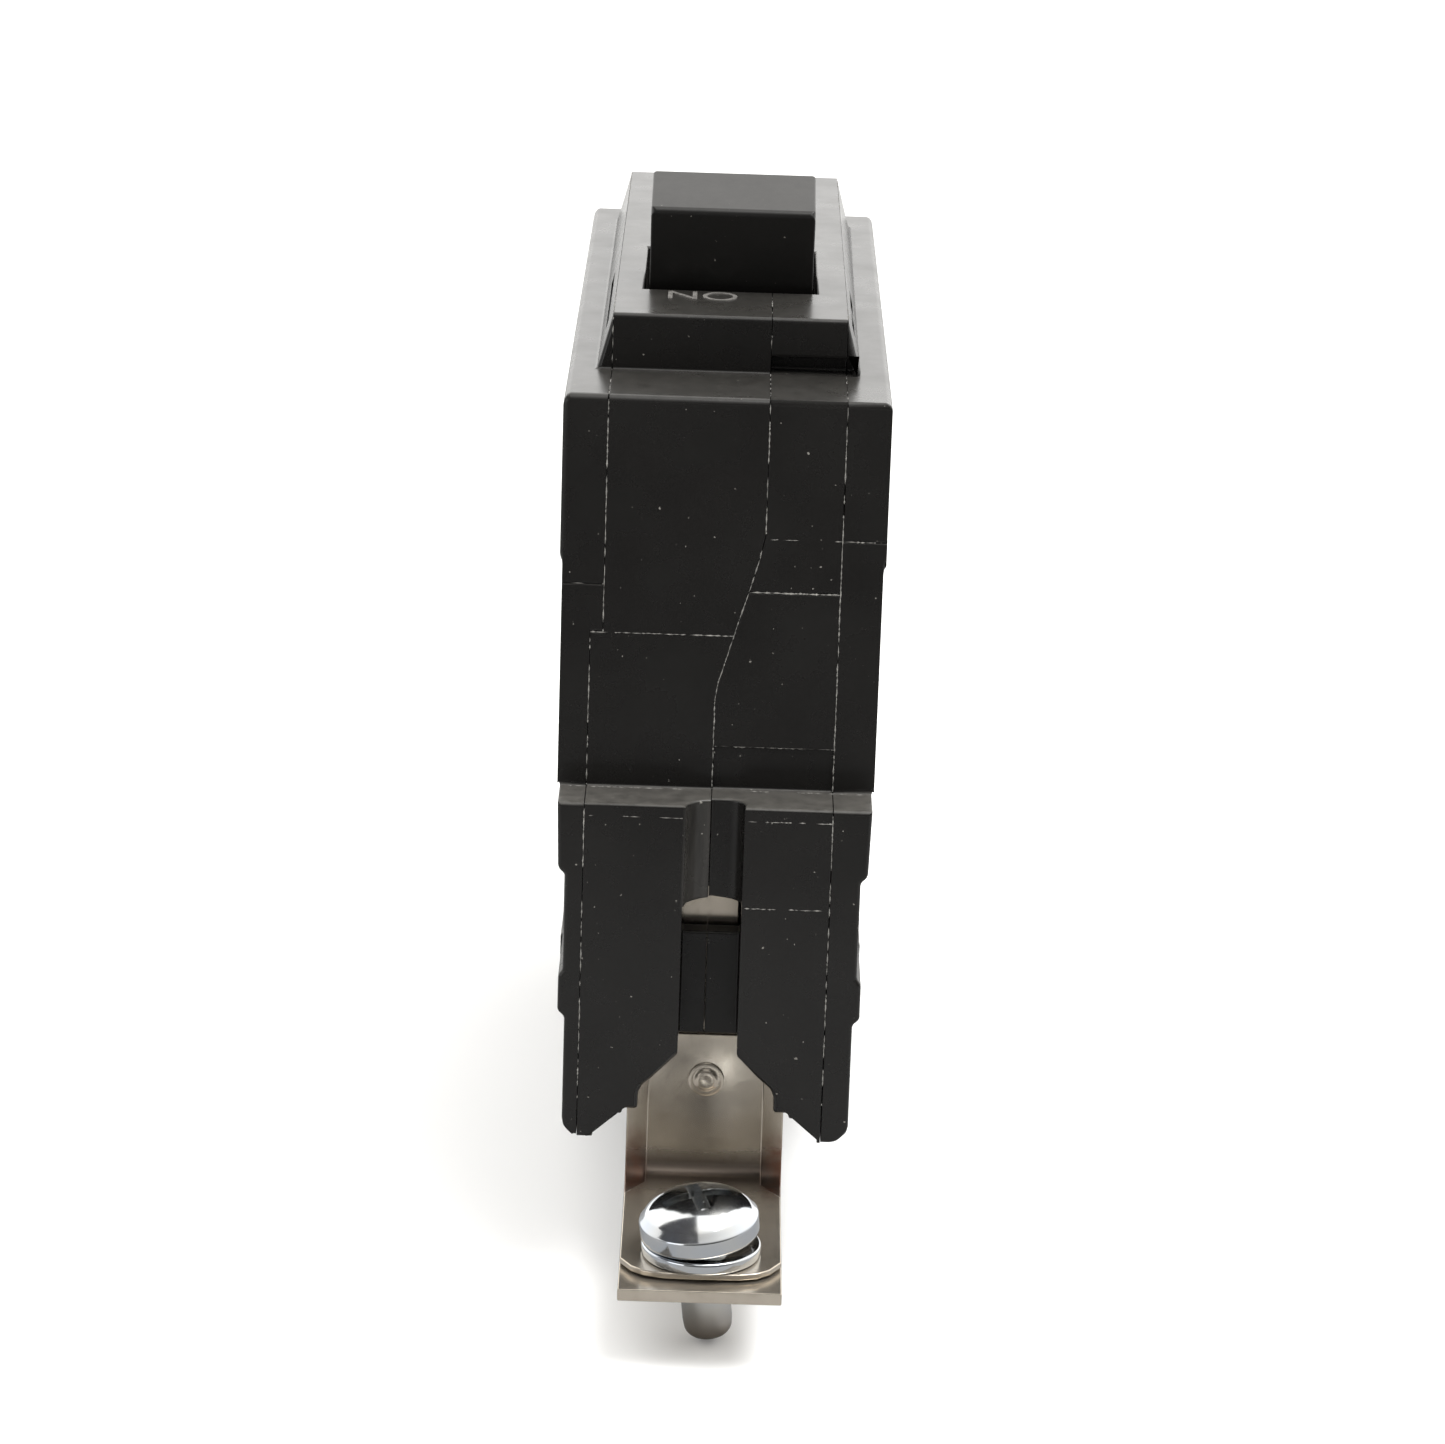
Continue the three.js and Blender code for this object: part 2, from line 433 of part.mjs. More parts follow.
function buildLineSide() {
  part("line_strap", lineStrap(), "tin");
  part("line_clip", lineClip(), "tin");
  const { r, head } = CLIP_RIVET;
  const rivet = turned([[0, -0.7], [head, -0.7], [head, -0.05], [r, -0.05], [r, 1.65], [head, 1.65], [head, 1.9],
    [r, 2.1], [0, 2.2]], 20);
  const clipRivet = part("clip_rivet", rivet, "tin");
  clipRivet.rotation.x = Math.PI / 2;
  clipRivet.position.set(0, STRAP.back, CLIP_RIVET.z);
  const ring = turned([[WASHER.bore, 0], [WASHER.r, 0], [WASHER.r, WASHER.t], [WASHER.bore, WASHER.t],
    [WASHER.bore, 0]], 32);
  part("line_washer", ring, "steel").position.set(0, SCREW.y, WASHER.low);
  const ax = -Math.sin(THREE.MathUtils.degToRad(SCREW.tiltX));
  const ay = -Math.sin(THREE.MathUtils.degToRad(SCREW.tiltY));
  const axis = new THREE.Vector3(ax, ay, Math.sqrt(1 - ax * ax - ay * ay));
  const lift = SCREW.head * Math.hypot(ax, ay) + SCREW.gap; // one side of the head touches the washer
  const screw = part("line_screw", lineScrew(), "steel");
  screw.position.set(SCREW.x, SCREW.y, WASHER.low + WASHER.t + lift);
  screw.quaternion.setFromUnitVectors(new THREE.Vector3(0, 0, 1), axis);
  screw.rotateZ(THREE.MathUtils.degToRad(SCREW.turn));
  const contactX = (ARM.x0 + ARM.x1) / 2;
  part("stationary_contact", rod("y", contactX, ARM.tipZ, 1.7, STRAP.back, STRAP.back + 1), "silver");
  ARC_PLATES.forEach((z, i) => {
    const plan = [[-8.8, -33.4], [-2.2, -33.4], [-2.2, -24.8], [-3.6, -24.8], [-5.5, -30],
      [-7.4, -24.8], [-8.8, -24.8]];
    part(`arc_plate_${i + 1}`, prism("z", plan, z, z + 0.8), "spring");
  });
}

// ---- handle, contact arm, cradle ----
function handleSolid() {
  const t = HANDLE.t / 2;
  const side = [[t + 0.2, 6], [t, HANDLE.reach - 0.3], [t - 0.3, HANDLE.reach]];
  const lug = [[2.4, 0], [2.4, -HANDLE.lug - 0.4], [1.4, -HANDLE.lug - 2]];
  const bothSides = (line) => [...mirrored(line, -1), ...line.slice().reverse()];
  return join(
    rod("x", 0, 0, HANDLE.r, HANDLE.left, HANDLE.right, 48),
    prism("x", bothSides(side), HANDLE.left, HANDLE.right),
    rod("x", 0, 0, HANDLE.trunnion, TRUNNION.left, TRUNNION.right, 20),
    prism("x", bothSides(lug), ARM.x1 + 0.4, -1.9),
    rod("x", 0, -HANDLE.lug, ARM.pin, ARM.x0 - 1, ARM.x1 + 1, 16),
  );
}

function armSolid() {
  const dy = ARM.tipY - ARM.y;
  const dz = ARM.tipZ - ARM.z;
  const outline = [[2.6, -1.2], [1.2, 2.4], [-2.2, 2.4], [dy + 3.2, dz + 6], [dy, dz + 2.2], [dy, dz - 2.4],
    [dy + 2, dz - 2.4], [dy + 4.4, dz + 1.2], [-1, -3.2], [1.6, -3]];
  return cut(prism("x", outline, ARM.x0, ARM.x1), rod("x", 0, 0, ARM.eye, ARM.x0 - 1, ARM.x1 + 1, 16));
}

function cradleSolid() {
  const dy = CRADLE.tipY - CRADLE.y;
  const dz = CRADLE.tipZ - CRADLE.z;
  const outline = [[-3, 1.4], [-1.2, 3], [2.4, 2.6], [dy - 6, dz + 3], [dy, dz + 1], [dy, dz - 1.4],
    [dy - 3.4, dz - 1.6], [14, -9.4], [2, -3.2], [-2, -3]];
  return cut(prism("x", outline, CRADLE.x0, CRADLE.x1), rod("x", 0, 0, CRADLE.eye, -12, -8, 16));
}

function buildMechanism() {
  const handle = part("handle", handleSolid(), "black");
  handle.position.set(0, PIVOT.y, PIVOT.z);
  handle.rotation.x = THREE.MathUtils.degToRad(HANDLE.lean);
  const arm = part("contact_arm", armSolid(), "copper");
  arm.position.set(0, ARM.y, ARM.z);
  const contactX = (ARM.x0 + ARM.x1) / 2;
  part("moving_contact", rod("y", contactX, ARM.tipZ, 1.6, ARM.tipY - 1.2, ARM.tipY, 24), "silver");
  const dy = ARM.tipY - ARM.y;
  const dz = ARM.tipZ - ARM.z;
  const spring = part("toggle_spring", rod("z", 0, 0, 0.75, 3, 13, 16), "spring");
  spring.position.set(ARM.x0 - 1.15, ARM.y, ARM.z);
  spring.rotation.x = Math.atan2(-dy, dz);
  const cradle = part("trip_cradle", cradleSolid(), "spring");
  cradle.position.set(0, CRADLE.y, CRADLE.z);
  part("magnet_yoke", prism("z", [[-8.4, 9], [-7.2, 9], [-7.2, 13.3], [-3.4, 13.3], [-3.4, 9], [-2.2, 9],
    [-2.2, 14.5], [-8.4, 14.5]], 26, 38), "spring");
  part("armature", cut(
    join(box(-8.4, -2.2, 6, 6.9, 24, 44.6), box(-10.5, -8.3, 6, 6.9, 31, 36)),
    box(-6.9, -3.7, 5, 8, 39, 42),
  ), "spring");
  part("bimetal", box(-6.6, -4, 10.6, 11.4, 21, 51), "brass");
  part("bimetal_bracket", prism("x", [[11.45, 43.5], [12.45, 43.5], [12.45, 50], [17, 50], [17, 51], [11.45, 51]],
    -6.6, -4), "copper");
  part("flex_braid", wire([[-7.7, -12.5, 38.6], [-7.7, -6, 33], [-7.2, 0.5, 24], [-5.6, 6.4, 19.2],
    [-5.3, 9.7, 22.2]], 0.8, 14, 6), "copper");
}

// ---- load end ----
// Strip from the terminal plate up through the well wall, swelled for the passage it needs.
function terminalLead(x, half, grow = 0) {
  const low = TERM.plate - grow;
  const line = [onShelf(-12.2, low), onShelf(grow ? -3 : 4.2, low)];
  const tail = strip([[20.6 - grow, onShelf(-12.2, low)[1]], ...line], TERM.plateT + 2 * grow);
  return prism("x", tail, x - half - grow, x + half + grow);
}

function terminal(prefix, x, leadX, leadHalf) {
  const frame = new THREE.Group();
  frame.position.set(x, SHELF_MID.y, SHELF_MID.z);
  frame.rotation.x = -Math.PI / 4;
  model.add(frame);
  const bore = solid(new THREE.CylinderGeometry(TERM.r + TERM.clear, TERM.r + TERM.clear, 8, 20)
    .rotateX(Math.PI / 4).translate(x, ...onShelf(0, TERM.plate)));
  const top = TERM.plate + TERM.plateT;
  const pad = prism("x", [onShelf(-4.2, TERM.plate), onShelf(4.2, TERM.plate), onShelf(4.2, top),
    onShelf(-4.2, top)], x - TERM.half, x + TERM.half);
  part(`${prefix}_terminal`, cut(join(pad, terminalLead(leadX, leadHalf)), bore), "tin");
  const clamp = cut(box(-TERM.half, TERM.half, -3.6, 3.6, 0, TERM.clampT),
    rod("z", 0, 0, TERM.r + TERM.clear, -1, 3, 20));
  part(`${prefix}_clamp`, clamp, "steel", frame).position.z = TERM.clamp;
  const seat = TERM.clamp + TERM.clampT + 0.05;
  const head = turned([[0, TERM.tip - seat], [TERM.r - 0.4, TERM.tip - seat], [TERM.r, TERM.tip - seat + 0.5],
    [TERM.r, 0], [TERM.head, 0], [TERM.head, TERM.headT - 0.6], [TERM.head - 0.6, TERM.headT], [0, TERM.headT]]);
  const screw = cut(head, box(-5, 5, -0.5, 0.5, TERM.headT - 1.2, 5));
  const mesh = part(`${prefix}_screw`, screw, "steel", frame);
  mesh.position.z = seat;
  mesh.rotation.z = 0.5;
}

function buildLoadEnd() {
  terminal("load", TERM.leftX, TERM.leftX, 2.1);
  terminal("neutral", TERM.rightX, TERM.rightX + 1.7, 1.5);
}

// ---- ground-fault electronics ----
const ring = ([x0, x1]) =>
  cut(rod("x", TOROID.y, TOROID.z, TOROID.out, x0, x1, 32), rod("x", TOROID.y, TOROID.z, TOROID.hole, 0, 9, 24));

function buildElectronics() {
  const board = [[-12, 10.8], [-1.6, 10.8], [-1.6, 3], [31, 3], [31, 24.6], [26, 26], [20, 31], [-12, 31]];
  part("circuit_board", prism("x", board, BOARD.x0, BOARD.x1), "board");
  part("sense_toroid", ring(TOROID.sense), "ferrite");
  part("ground_toroid", ring(TOROID.ground), "ferrite");
  const y1 = TOROID.y - 1.35;
  part("load_conductor", wire([[-5.3, 16, 49.2], [-5.3, 16, 40], [-5.3, 16, 26], [-4.7, 12.4, 19.2],
    [-2.2, 7.4, 16.3], [0, y1, 16], [3, y1, 16], [6, y1, 16], [8.2, y1, 14.6], [8.4, y1, 10.4], [7.2, y1, 7],
    [3, y1, 6.3], [-0.6, y1, 6.2], [-3.4, 8.4, 6.6], [-5.2, 14, 9], [-5.3, 18.6, 16], [-5.3, 18.6, 30],
    [-5.3, 19.2, 42.6]], 0.8, 60, 6), "insulation");
  const y2 = TOROID.y + 1.35;
  part("neutral_conductor", wire([[6.8, 19.3, 42.6], [6.8, 15.4, 40], [7.4, 12, 33], [8.3, 10, 24.6],
    [8.2, y2, 18], [6.6, y2, 16.1], [4, y2, 16], [2.2, y2 + 0.3, 14.4], [1.95, 13.4, 8.2], [2.1, 17, 4.6],
    [3.4, 23.4, 4.4], [4.9, 29, 9.4], [5.1, 30.2, 17], [5.1, 33, 23.4], [5.1, 37, 24.4], [5.1, 41.4, 24.4]],
    0.8, 56, 6), "white");
  const c = COIL;
  part("solenoid_coil", cut(rod("z", c.x, c.y, c.r, c.z0, c.z1, 28), rod("z", c.x, c.y, c.bore, 20, 40, 20)),
    "winding");
  part("solenoid_frame", cut(prism("x", [[-9.4, 26.4], [4, 26.4], [4, 27.3], [-8.4, 27.3], [-8.4, 36.9],
    [4, 36.9], [4, 37.8], [-9.4, 37.8]], 2.2, 8.2), rod("z", c.x, c.y, c.bore, 20, 36.8, 20)), "spring");
  part("solenoid_plunger", join(rod("z", c.x, c.y, PLUNGER.r, PLUNGER.z0, PLUNGER.z1, 20),
    rod("z", c.x, c.y, PLUNGER.collar, PLUNGER.z0, PLUNGER.z0 + PLUNGER.collarT, 20)), "steel");
  part("plunger_spring", cut(rod("z", c.x, c.y, PLUNGER.collar, PLUNGER.z0 + PLUNGER.collarT, 26.4, 20),
    rod("z", c.x, c.y, PLUNGER.r + 0.25, 20, 28, 20)), "spring");
  const lever = join(
    rod("x", 0, 0, LEVER.r, -4, 6.4, 16),
    prism("x", [[-1.3, -0.6], [1.3, -0.6], [0.9, 6], [-0.5, 6]], -4, -2.2),
    prism("x", [[-0.6, -2.1], [0.9, -0.7], [0.9, 0.6], [-0.6, 0.6], [-1.4, -1.15], [-7, -1.8], [-7, -2.8],
      [-1, -2.3]], 4.2, 6.4),
  );
  part("trip_lever", lever, "black").position.set(0, LEVER.y, LEVER.z);
  part("ic_chip", box(7.9, BOARD.x0, -10.6, -3.4, 12.6, 18.2), "chip");
  part("thyristor", box(6.9, BOARD.x0, 14.2, 19.4, 25.4, 29.4), "chip");
  part("varistor", rod("x", 26.4, 7.8, 3.4, 6.6, BOARD.x0, 24), "mov");
  part("filter_capacitor", rod("x", 17.6, 7.4, 2.3, 4.4, BOARD.x0, 20), "insulation");
  part("timing_capacitor", rod("x", 24.6, 20.2, 1.9, 6.4, BOARD.x0, 20), "mov");
  part("test_resistor", rod("y", 8.2, 21.6, 0.9, -11.4, -6.6, 12), "ceramic");
  part("supply_resistor", rod("y", 8.2, 24.6, 0.9, -11.4, -6.6, 12), "ceramic");
}

function buildTestButton() {
  const b = BUTTON;
  const y = (b.y0 + b.y1) / 2;
  const stem = rod("z", b.stemX, y, b.stem, b.stemLow, b.springTop + 0.5, 16);
  const cap = cut(box(b.x0, b.x1, b.y0, b.y1, b.low, b.top),
    rod("z", b.stemX, y, b.springOut + 0.3, b.low - 1, b.springTop, 20));
  part("test_button", join(cap, stem), "white");
  part("test_spring", cut(rod("z", b.stemX, y, b.springOut, b.well, b.springTop, 20),
    rod("z", b.stemX, y, 1.05, b.well - 1, b.springTop + 1, 16)), "spring");
  part("test_blade", box(4.9, 8, 5, 17, 53.2, 53.7), "brass");
}

buildCase();
buildLineSide();
buildMechanism();
buildLoadEnd();
buildElectronics();
buildTestButton();

export default model;
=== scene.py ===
"""Looks of the single-pole ground-fault breaker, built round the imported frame. Lengths are in mm unless said."""
import json
import math
import random

import bmesh
import bpy
from mathutils import Matrix, Vector

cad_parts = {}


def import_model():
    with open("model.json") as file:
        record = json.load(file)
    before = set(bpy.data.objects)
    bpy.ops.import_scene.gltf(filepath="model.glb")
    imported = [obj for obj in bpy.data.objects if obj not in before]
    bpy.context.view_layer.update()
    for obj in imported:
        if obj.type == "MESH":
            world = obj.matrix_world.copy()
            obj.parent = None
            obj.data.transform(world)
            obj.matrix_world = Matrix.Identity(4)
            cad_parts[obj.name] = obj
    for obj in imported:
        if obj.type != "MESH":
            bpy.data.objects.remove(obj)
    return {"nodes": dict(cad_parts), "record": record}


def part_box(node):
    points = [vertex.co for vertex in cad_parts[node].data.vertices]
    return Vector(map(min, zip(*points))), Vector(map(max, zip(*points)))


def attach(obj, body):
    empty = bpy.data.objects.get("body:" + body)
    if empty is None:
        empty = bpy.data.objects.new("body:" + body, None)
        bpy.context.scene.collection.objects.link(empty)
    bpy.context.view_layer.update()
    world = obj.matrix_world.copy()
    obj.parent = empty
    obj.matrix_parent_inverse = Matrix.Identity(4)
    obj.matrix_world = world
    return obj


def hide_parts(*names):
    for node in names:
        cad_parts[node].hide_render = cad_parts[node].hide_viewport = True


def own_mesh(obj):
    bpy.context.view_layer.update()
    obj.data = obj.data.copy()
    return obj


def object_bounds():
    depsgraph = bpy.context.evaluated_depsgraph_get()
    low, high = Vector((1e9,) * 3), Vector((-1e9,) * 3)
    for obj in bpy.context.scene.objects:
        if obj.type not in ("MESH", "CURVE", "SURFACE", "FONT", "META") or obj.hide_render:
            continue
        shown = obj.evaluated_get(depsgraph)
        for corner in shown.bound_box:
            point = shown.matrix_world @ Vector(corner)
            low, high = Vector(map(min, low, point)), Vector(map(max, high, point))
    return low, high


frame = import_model()
CAD_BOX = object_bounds()
NODES = frame["nodes"]
BODY = {node: body for body, nodes in frame["record"]["behaviour"]["bodies"].items() for node in nodes}
MM = 0.001
scene = bpy.context.scene
rng = random.Random(7)

# Faces, steps and ends of the case, its parting lines in x, and the middle one's path as (x, z).
FACE_Y, LEG_Y, BLOCK_Y, BLOCK_END = -39.5, -44, -30.8, 27.6
TOP, BLOCK_TOP, LEDGE_Z, STEP_Z = 59.5, 64, 27.9, 40.5
SHOULDER_END = 33
LEFT_X, LEFT_LOW_X, RIGHT_X = -9.2, -10.2, 9.22
MID = [(3.26, 70), (3.26, 48.8), (2.85, 46.8), (2.1, 44.1), (1.4, 41.8), (0.95, 40.2), (0.4, 38.3), (-0.1, 36.6),
       (-0.3, 35.2), (-0.3, -10)]
MID_TOP, MID_LOW = MID[0][0], MID[-1][0]

# Edge rounding: widths in mm and angles in degrees.
WIDEST_BEVEL, LEAST_BEVEL, ROOM_SHARE = 1.2, 0.02, 0.42
SHARP_ANGLE, TURN_ANGLE, SMOOTH_ANGLE = 25, 50, 32
AREA_POWER = 4
SEAM_EDGE, FOOT_EDGE, OUTER_EDGE, FRONT_EDGE, FLANK_X = 0.05, 0.8, 0.55, 0.35, 12


# ---------------------------------------------------------------- materials
class Graph:
    """Short hand for one material's nodes."""

    def __init__(self, name):
        self.material = bpy.data.materials.new(name)
        self.material.use_nodes = True
        self.tree = self.material.node_tree
        self.shader = self.tree.nodes["Principled BSDF"]
        self.place = self.add("ShaderNodeTexCoord").outputs["Object"]

    def add(self, kind, **values):
        node = self.tree.nodes.new(kind)
        for key, value in values.items():
            setattr(node, key, value)
        return node

    def put(self, value, socket):
        """A number, a colour or another node's output into a socket."""
        if isinstance(value, tuple):
            socket.default_value = (*value, 1)
        elif isinstance(value, (int, float)):
            socket.default_value = value
        else:
            self.tree.links.new(value, socket)

    def noise(self, scale, detail=3.0, rough=0.55, stretch=None):
        node = self.add("ShaderNodeTexNoise")
        for key, value in zip(("Scale", "Detail", "Roughness"), (scale, detail, rough)):
            node.inputs[key].default_value = value
        source = self.place
        if stretch:
            mapping = self.add("ShaderNodeMapping")
            mapping.inputs["Scale"].default_value = stretch
            self.put(source, mapping.inputs["Vector"])
            source = mapping.outputs["Vector"]
        self.put(source, node.inputs["Vector"])
        return node.outputs["Fac"]

    def ramp(self, source, low, high, out_low=0.0, out_high=1.0):
        node = self.add("ShaderNodeMapRange")
        for key, value in zip(("From Min", "From Max", "To Min", "To Max"), (low, high, out_low, out_high)):
            node.inputs[key].default_value = value
        self.put(source, node.inputs["Value"])
        return node.outputs["Result"]

    def math(self, operation, *values):
        node = self.add("ShaderNodeMath", operation=operation)
        for socket, value in zip(node.inputs, values):
            self.put(value, socket)
        return node.outputs[0]

    def times(self, first, *rest):
        for value in rest:
            first = self.math("MULTIPLY", first, value)
        return first

    def mix(self, factor, a, b):
        node = self.add("ShaderNodeMix", data_type="RGBA")
        for key, value in (("Factor", factor), ("A", a), ("B", b)):
            self.put(value, [s for s in node.inputs if s.name == key and s.enabled][0])
        return [s for s in node.outputs if s.enabled][0]

    def height(self, *layers):
        """Bump from (source, depth in mm) layers."""
        normal = None
        for source, depth in layers:
            node = self.add("ShaderNodeBump")
            node.inputs["Strength"].default_value = 1.0
            node.inputs["Distance"].default_value = depth * MM
            self.put(source, node.inputs["Height"])
            if normal:
                self.put(normal, node.inputs["Normal"])
            normal = node.outputs["Normal"]
        self.put(normal, self.shader.inputs["Normal"])

    def split(self, source, axis):
        node = self.add("ShaderNodeSeparateXYZ")
        self.put(source, node.inputs["Vector"])
        return node.outputs[axis]

    def normal(self, axis):
        return self.split(self.add("ShaderNodeNewGeometry").outputs["Normal"], axis)

    def at(self, axis, low, high):
        """0 below low and 1 above high (or the other way round) along an axis, in mm."""
        return self.ramp(self.split(self.place, axis), low * MM, high * MM)

    def finish(self, color, roughness, metallic=0.0, ior=1.45):
        self.put(color, self.shader.inputs["Base Color"])
        self.put(roughness, self.shader.inputs["Roughness"])
        self.shader.inputs["Metallic"].default_value = metallic
        self.shader.inputs["IOR"].default_value = ior
        return self.material


DUST_TONE, PAINTED_SHEEN_TONE = (0.42, 0.4, 0.36), (0.6, 0.57, 0.52)
FRONT_OF_BEND = -36.9
RADIANS_A_TURN = 6.283


def plastic(name, dark, light, rough, haze=0.045, ior=1.36):
    """Moulded black plastic: quiet tone, orange peel, settled dust on upward faces and a few specks."""
    g = Graph(name)
    tone = g.mix(g.ramp(g.noise(110, 4), 0.3, 0.7), dark, light)
    up = g.ramp(g.normal("Z"), 0.3, 0.95)
    low = g.ramp(g.split(g.place, "Z"), 0.045, 0.028, 1.0, 3.6)     # more dust from the ledge down
    settled = g.times(up, low, g.ramp(g.noise(900, 6, 0.7), 0.25, 0.75, haze * 0.5, haze * 1.4))
    specks = g.ramp(g.noise(2300, 2, 0.5), 0.745, 0.77, 0.0, 0.4)
    cover = g.math("MAXIMUM", settled, specks)
    tone = g.mix(cover, tone, DUST_TONE)
    # Painted reflection: pale streaks of reflected light on the left wall of the window between the legs.
    painted_sheen = g.times(g.at("X", -0.1, -0.5), g.at("X", -2.5, -2.2), g.at("Y", -41, -41.8), g.at("Z", 19, 19.6),
                   g.at("Z", 28.2, 27.6), g.ramp(g.noise(700, 4, 0.6, (1, 1, 0.12)), 0.3, 0.7, 0.01, 0.055))
    tone = g.mix(painted_sheen, tone, PAINTED_SHEEN_TONE)
    roughness = g.math("ADD", g.ramp(g.noise(240, 4, 0.6), 0.3, 0.75, rough - 0.03, rough + 0.04),
                       g.times(cover, 0.5))
    g.height((g.noise(1500, 3), 0.0018), (g.noise(5200, 2), 0.0008))
    return g.finish(tone, roughness, ior=ior)


def metal(name, main, second, rough, brushed=(1, 1, 1), spots=None, bump=0.002, scale=260):
    """Bare or plated metal: mottled tone, brushed or rolled lines, dull spots."""
    g = Graph(name)
    tone = g.mix(g.ramp(g.noise(scale, 5, 0.6), 0.35, 0.7), main, second)
    lines = g.noise(300, 3, 0.6, brushed)
    if spots:
        tone = g.mix(g.ramp(g.noise(900, 4, 0.6), 0.6, 0.74, 0.0, 0.6), tone, spots)
    g.height((lines, bump), (g.noise(1500, 4), bump * 0.7))
    return g.finish(tone, g.ramp(lines, 0.3, 0.72, rough - 0.07, rough + 0.1), metallic=1.0)


def tinned(name):
    """Tin-plated copper strip: soft beige plating, painted shade darkening the fold, and reddish brown patches
    beside the bend.
    """
    g = Graph(name)
    tone = g.mix(g.ramp(g.noise(150, 4, 0.55), 0.3, 0.72), (0.52, 0.47, 0.4), (0.43, 0.385, 0.32))
    tone = g.mix(g.ramp(g.noise(1100, 5, 0.65), 0.52, 0.74, 0.0, 0.4), tone, (0.27, 0.23, 0.19))
    # Reddish brown patches on both sides beside the bend.
    side = g.math("MAXIMUM", g.at("X", -4.4, -5.2), g.at("X", 4.4, 5.2))
    bend = g.times(side, g.at("Z", -1.5, -3.8), g.at("Y", FRONT_OF_BEND - 6, FRONT_OF_BEND - 2),
                   g.ramp(g.noise(420, 5, 0.6), 0.3, 0.62, 0.1, 0.8))
    # Painted shade: the inside of the fold is darkened; the same mask also makes it rougher.
    fold_shade = g.times(g.at("Z", -3.2, -4.9), g.at("Y", FRONT_OF_BEND - 5, FRONT_OF_BEND - 2), g.at("Z", -7.2, -6.6))
    tone = g.mix(g.times(fold_shade, 0.85), tone, (0.1, 0.075, 0.06))
    tone = g.mix(bend, tone, (0.2, 0.095, 0.06))
    roughness = g.math("ADD", g.ramp(g.noise(380, 4), 0.3, 0.7, 0.17, 0.25), g.times(fold_shade, 0.2))
    g.height((g.noise(90, 2), 0.012), (g.noise(1100, 4), 0.0014))
    return g.finish(tone, roughness, metallic=0.84)


def zinc(name, rough=0.09):
    """Bright zinc plating with faint blue and straw tints, dull and brown on the shank's end."""
    g = Graph(name)
    tint = g.mix(g.ramp(g.noise(170, 3, 0.5), 0.38, 0.64), (0.47, 0.5, 0.54), (0.58, 0.57, 0.535))
    tint = g.mix(g.ramp(g.noise(1700, 5, 0.6), 0.64, 0.78, 0.0, 0.35), tint, (0.4, 0.4, 0.4))
    dull = g.times(g.at("Z", -9.5, -12.2), 0.8)
    tint = g.mix(dull, tint, (0.36, 0.3, 0.235))
    g.height((g.noise(2100, 4), 0.0006), (g.noise(200, 2), 0.004))
    return g.finish(tint, g.ramp(g.noise(600, 5, 0.6), 0.3, 0.72, rough - 0.02, rough + 0.08), metallic=1.0)


def winding(name, main, groove, pitch):
    """Fine wound wire as bands across z."""
    g = Graph(name)
    wave = g.add("ShaderNodeTexWave", bands_direction="Z")
    wave.inputs["Scale"].default_value = 1.0 / (pitch * MM) / RADIANS_A_TURN
    wave.inputs["Distortion"].default_value = 0.15
    g.put(g.place, wave.inputs["Vector"])
    g.height((wave.outputs["Fac"], 0.05))
    return g.finish(g.mix(wave.outputs["Fac"], groove, main), g.ramp(g.noise(600), 0.3, 0.7, 0.25, 0.42),
                    metallic=0.6)


def speckled(name, main, second, rough, scale=900, depth=0.01, ior=1.5):
    """Plain part with fine two-tone grain."""
    g = Graph(name)
    tone = g.mix(g.ramp(g.noise(scale, 5, 0.6), 0.38, 0.66), main, second)
    g.height((g.noise(scale * 2.5, 4), depth))
    return g.finish(tone, g.ramp(g.noise(scale * 0.6, 4), 0.3, 0.7, rough - 0.05, rough + 0.08), ior=ior)


def banded(name, body, bands, low, step):
    """Resistor body with colour bands along y."""
    g = Graph(name)
    tone = g.mix(g.ramp(g.noise(900), 0.3, 0.7), body, tuple(0.85 * c for c in body))
    place = g.split(g.place, "Y")
    for i, color in enumerate(bands):
        start = (low + i * step) * MM
        end = start + step * 0.45 * MM
        inside = g.times(g.math("GREATER_THAN", place, start), g.math("LESS_THAN", place, end))
        tone = g.mix(inside, tone, color)
    g.height((g.noise(1400, 3), 0.006))
    return g.finish(tone, g.ramp(g.noise(700), 0.3, 0.7, 0.35, 0.5))


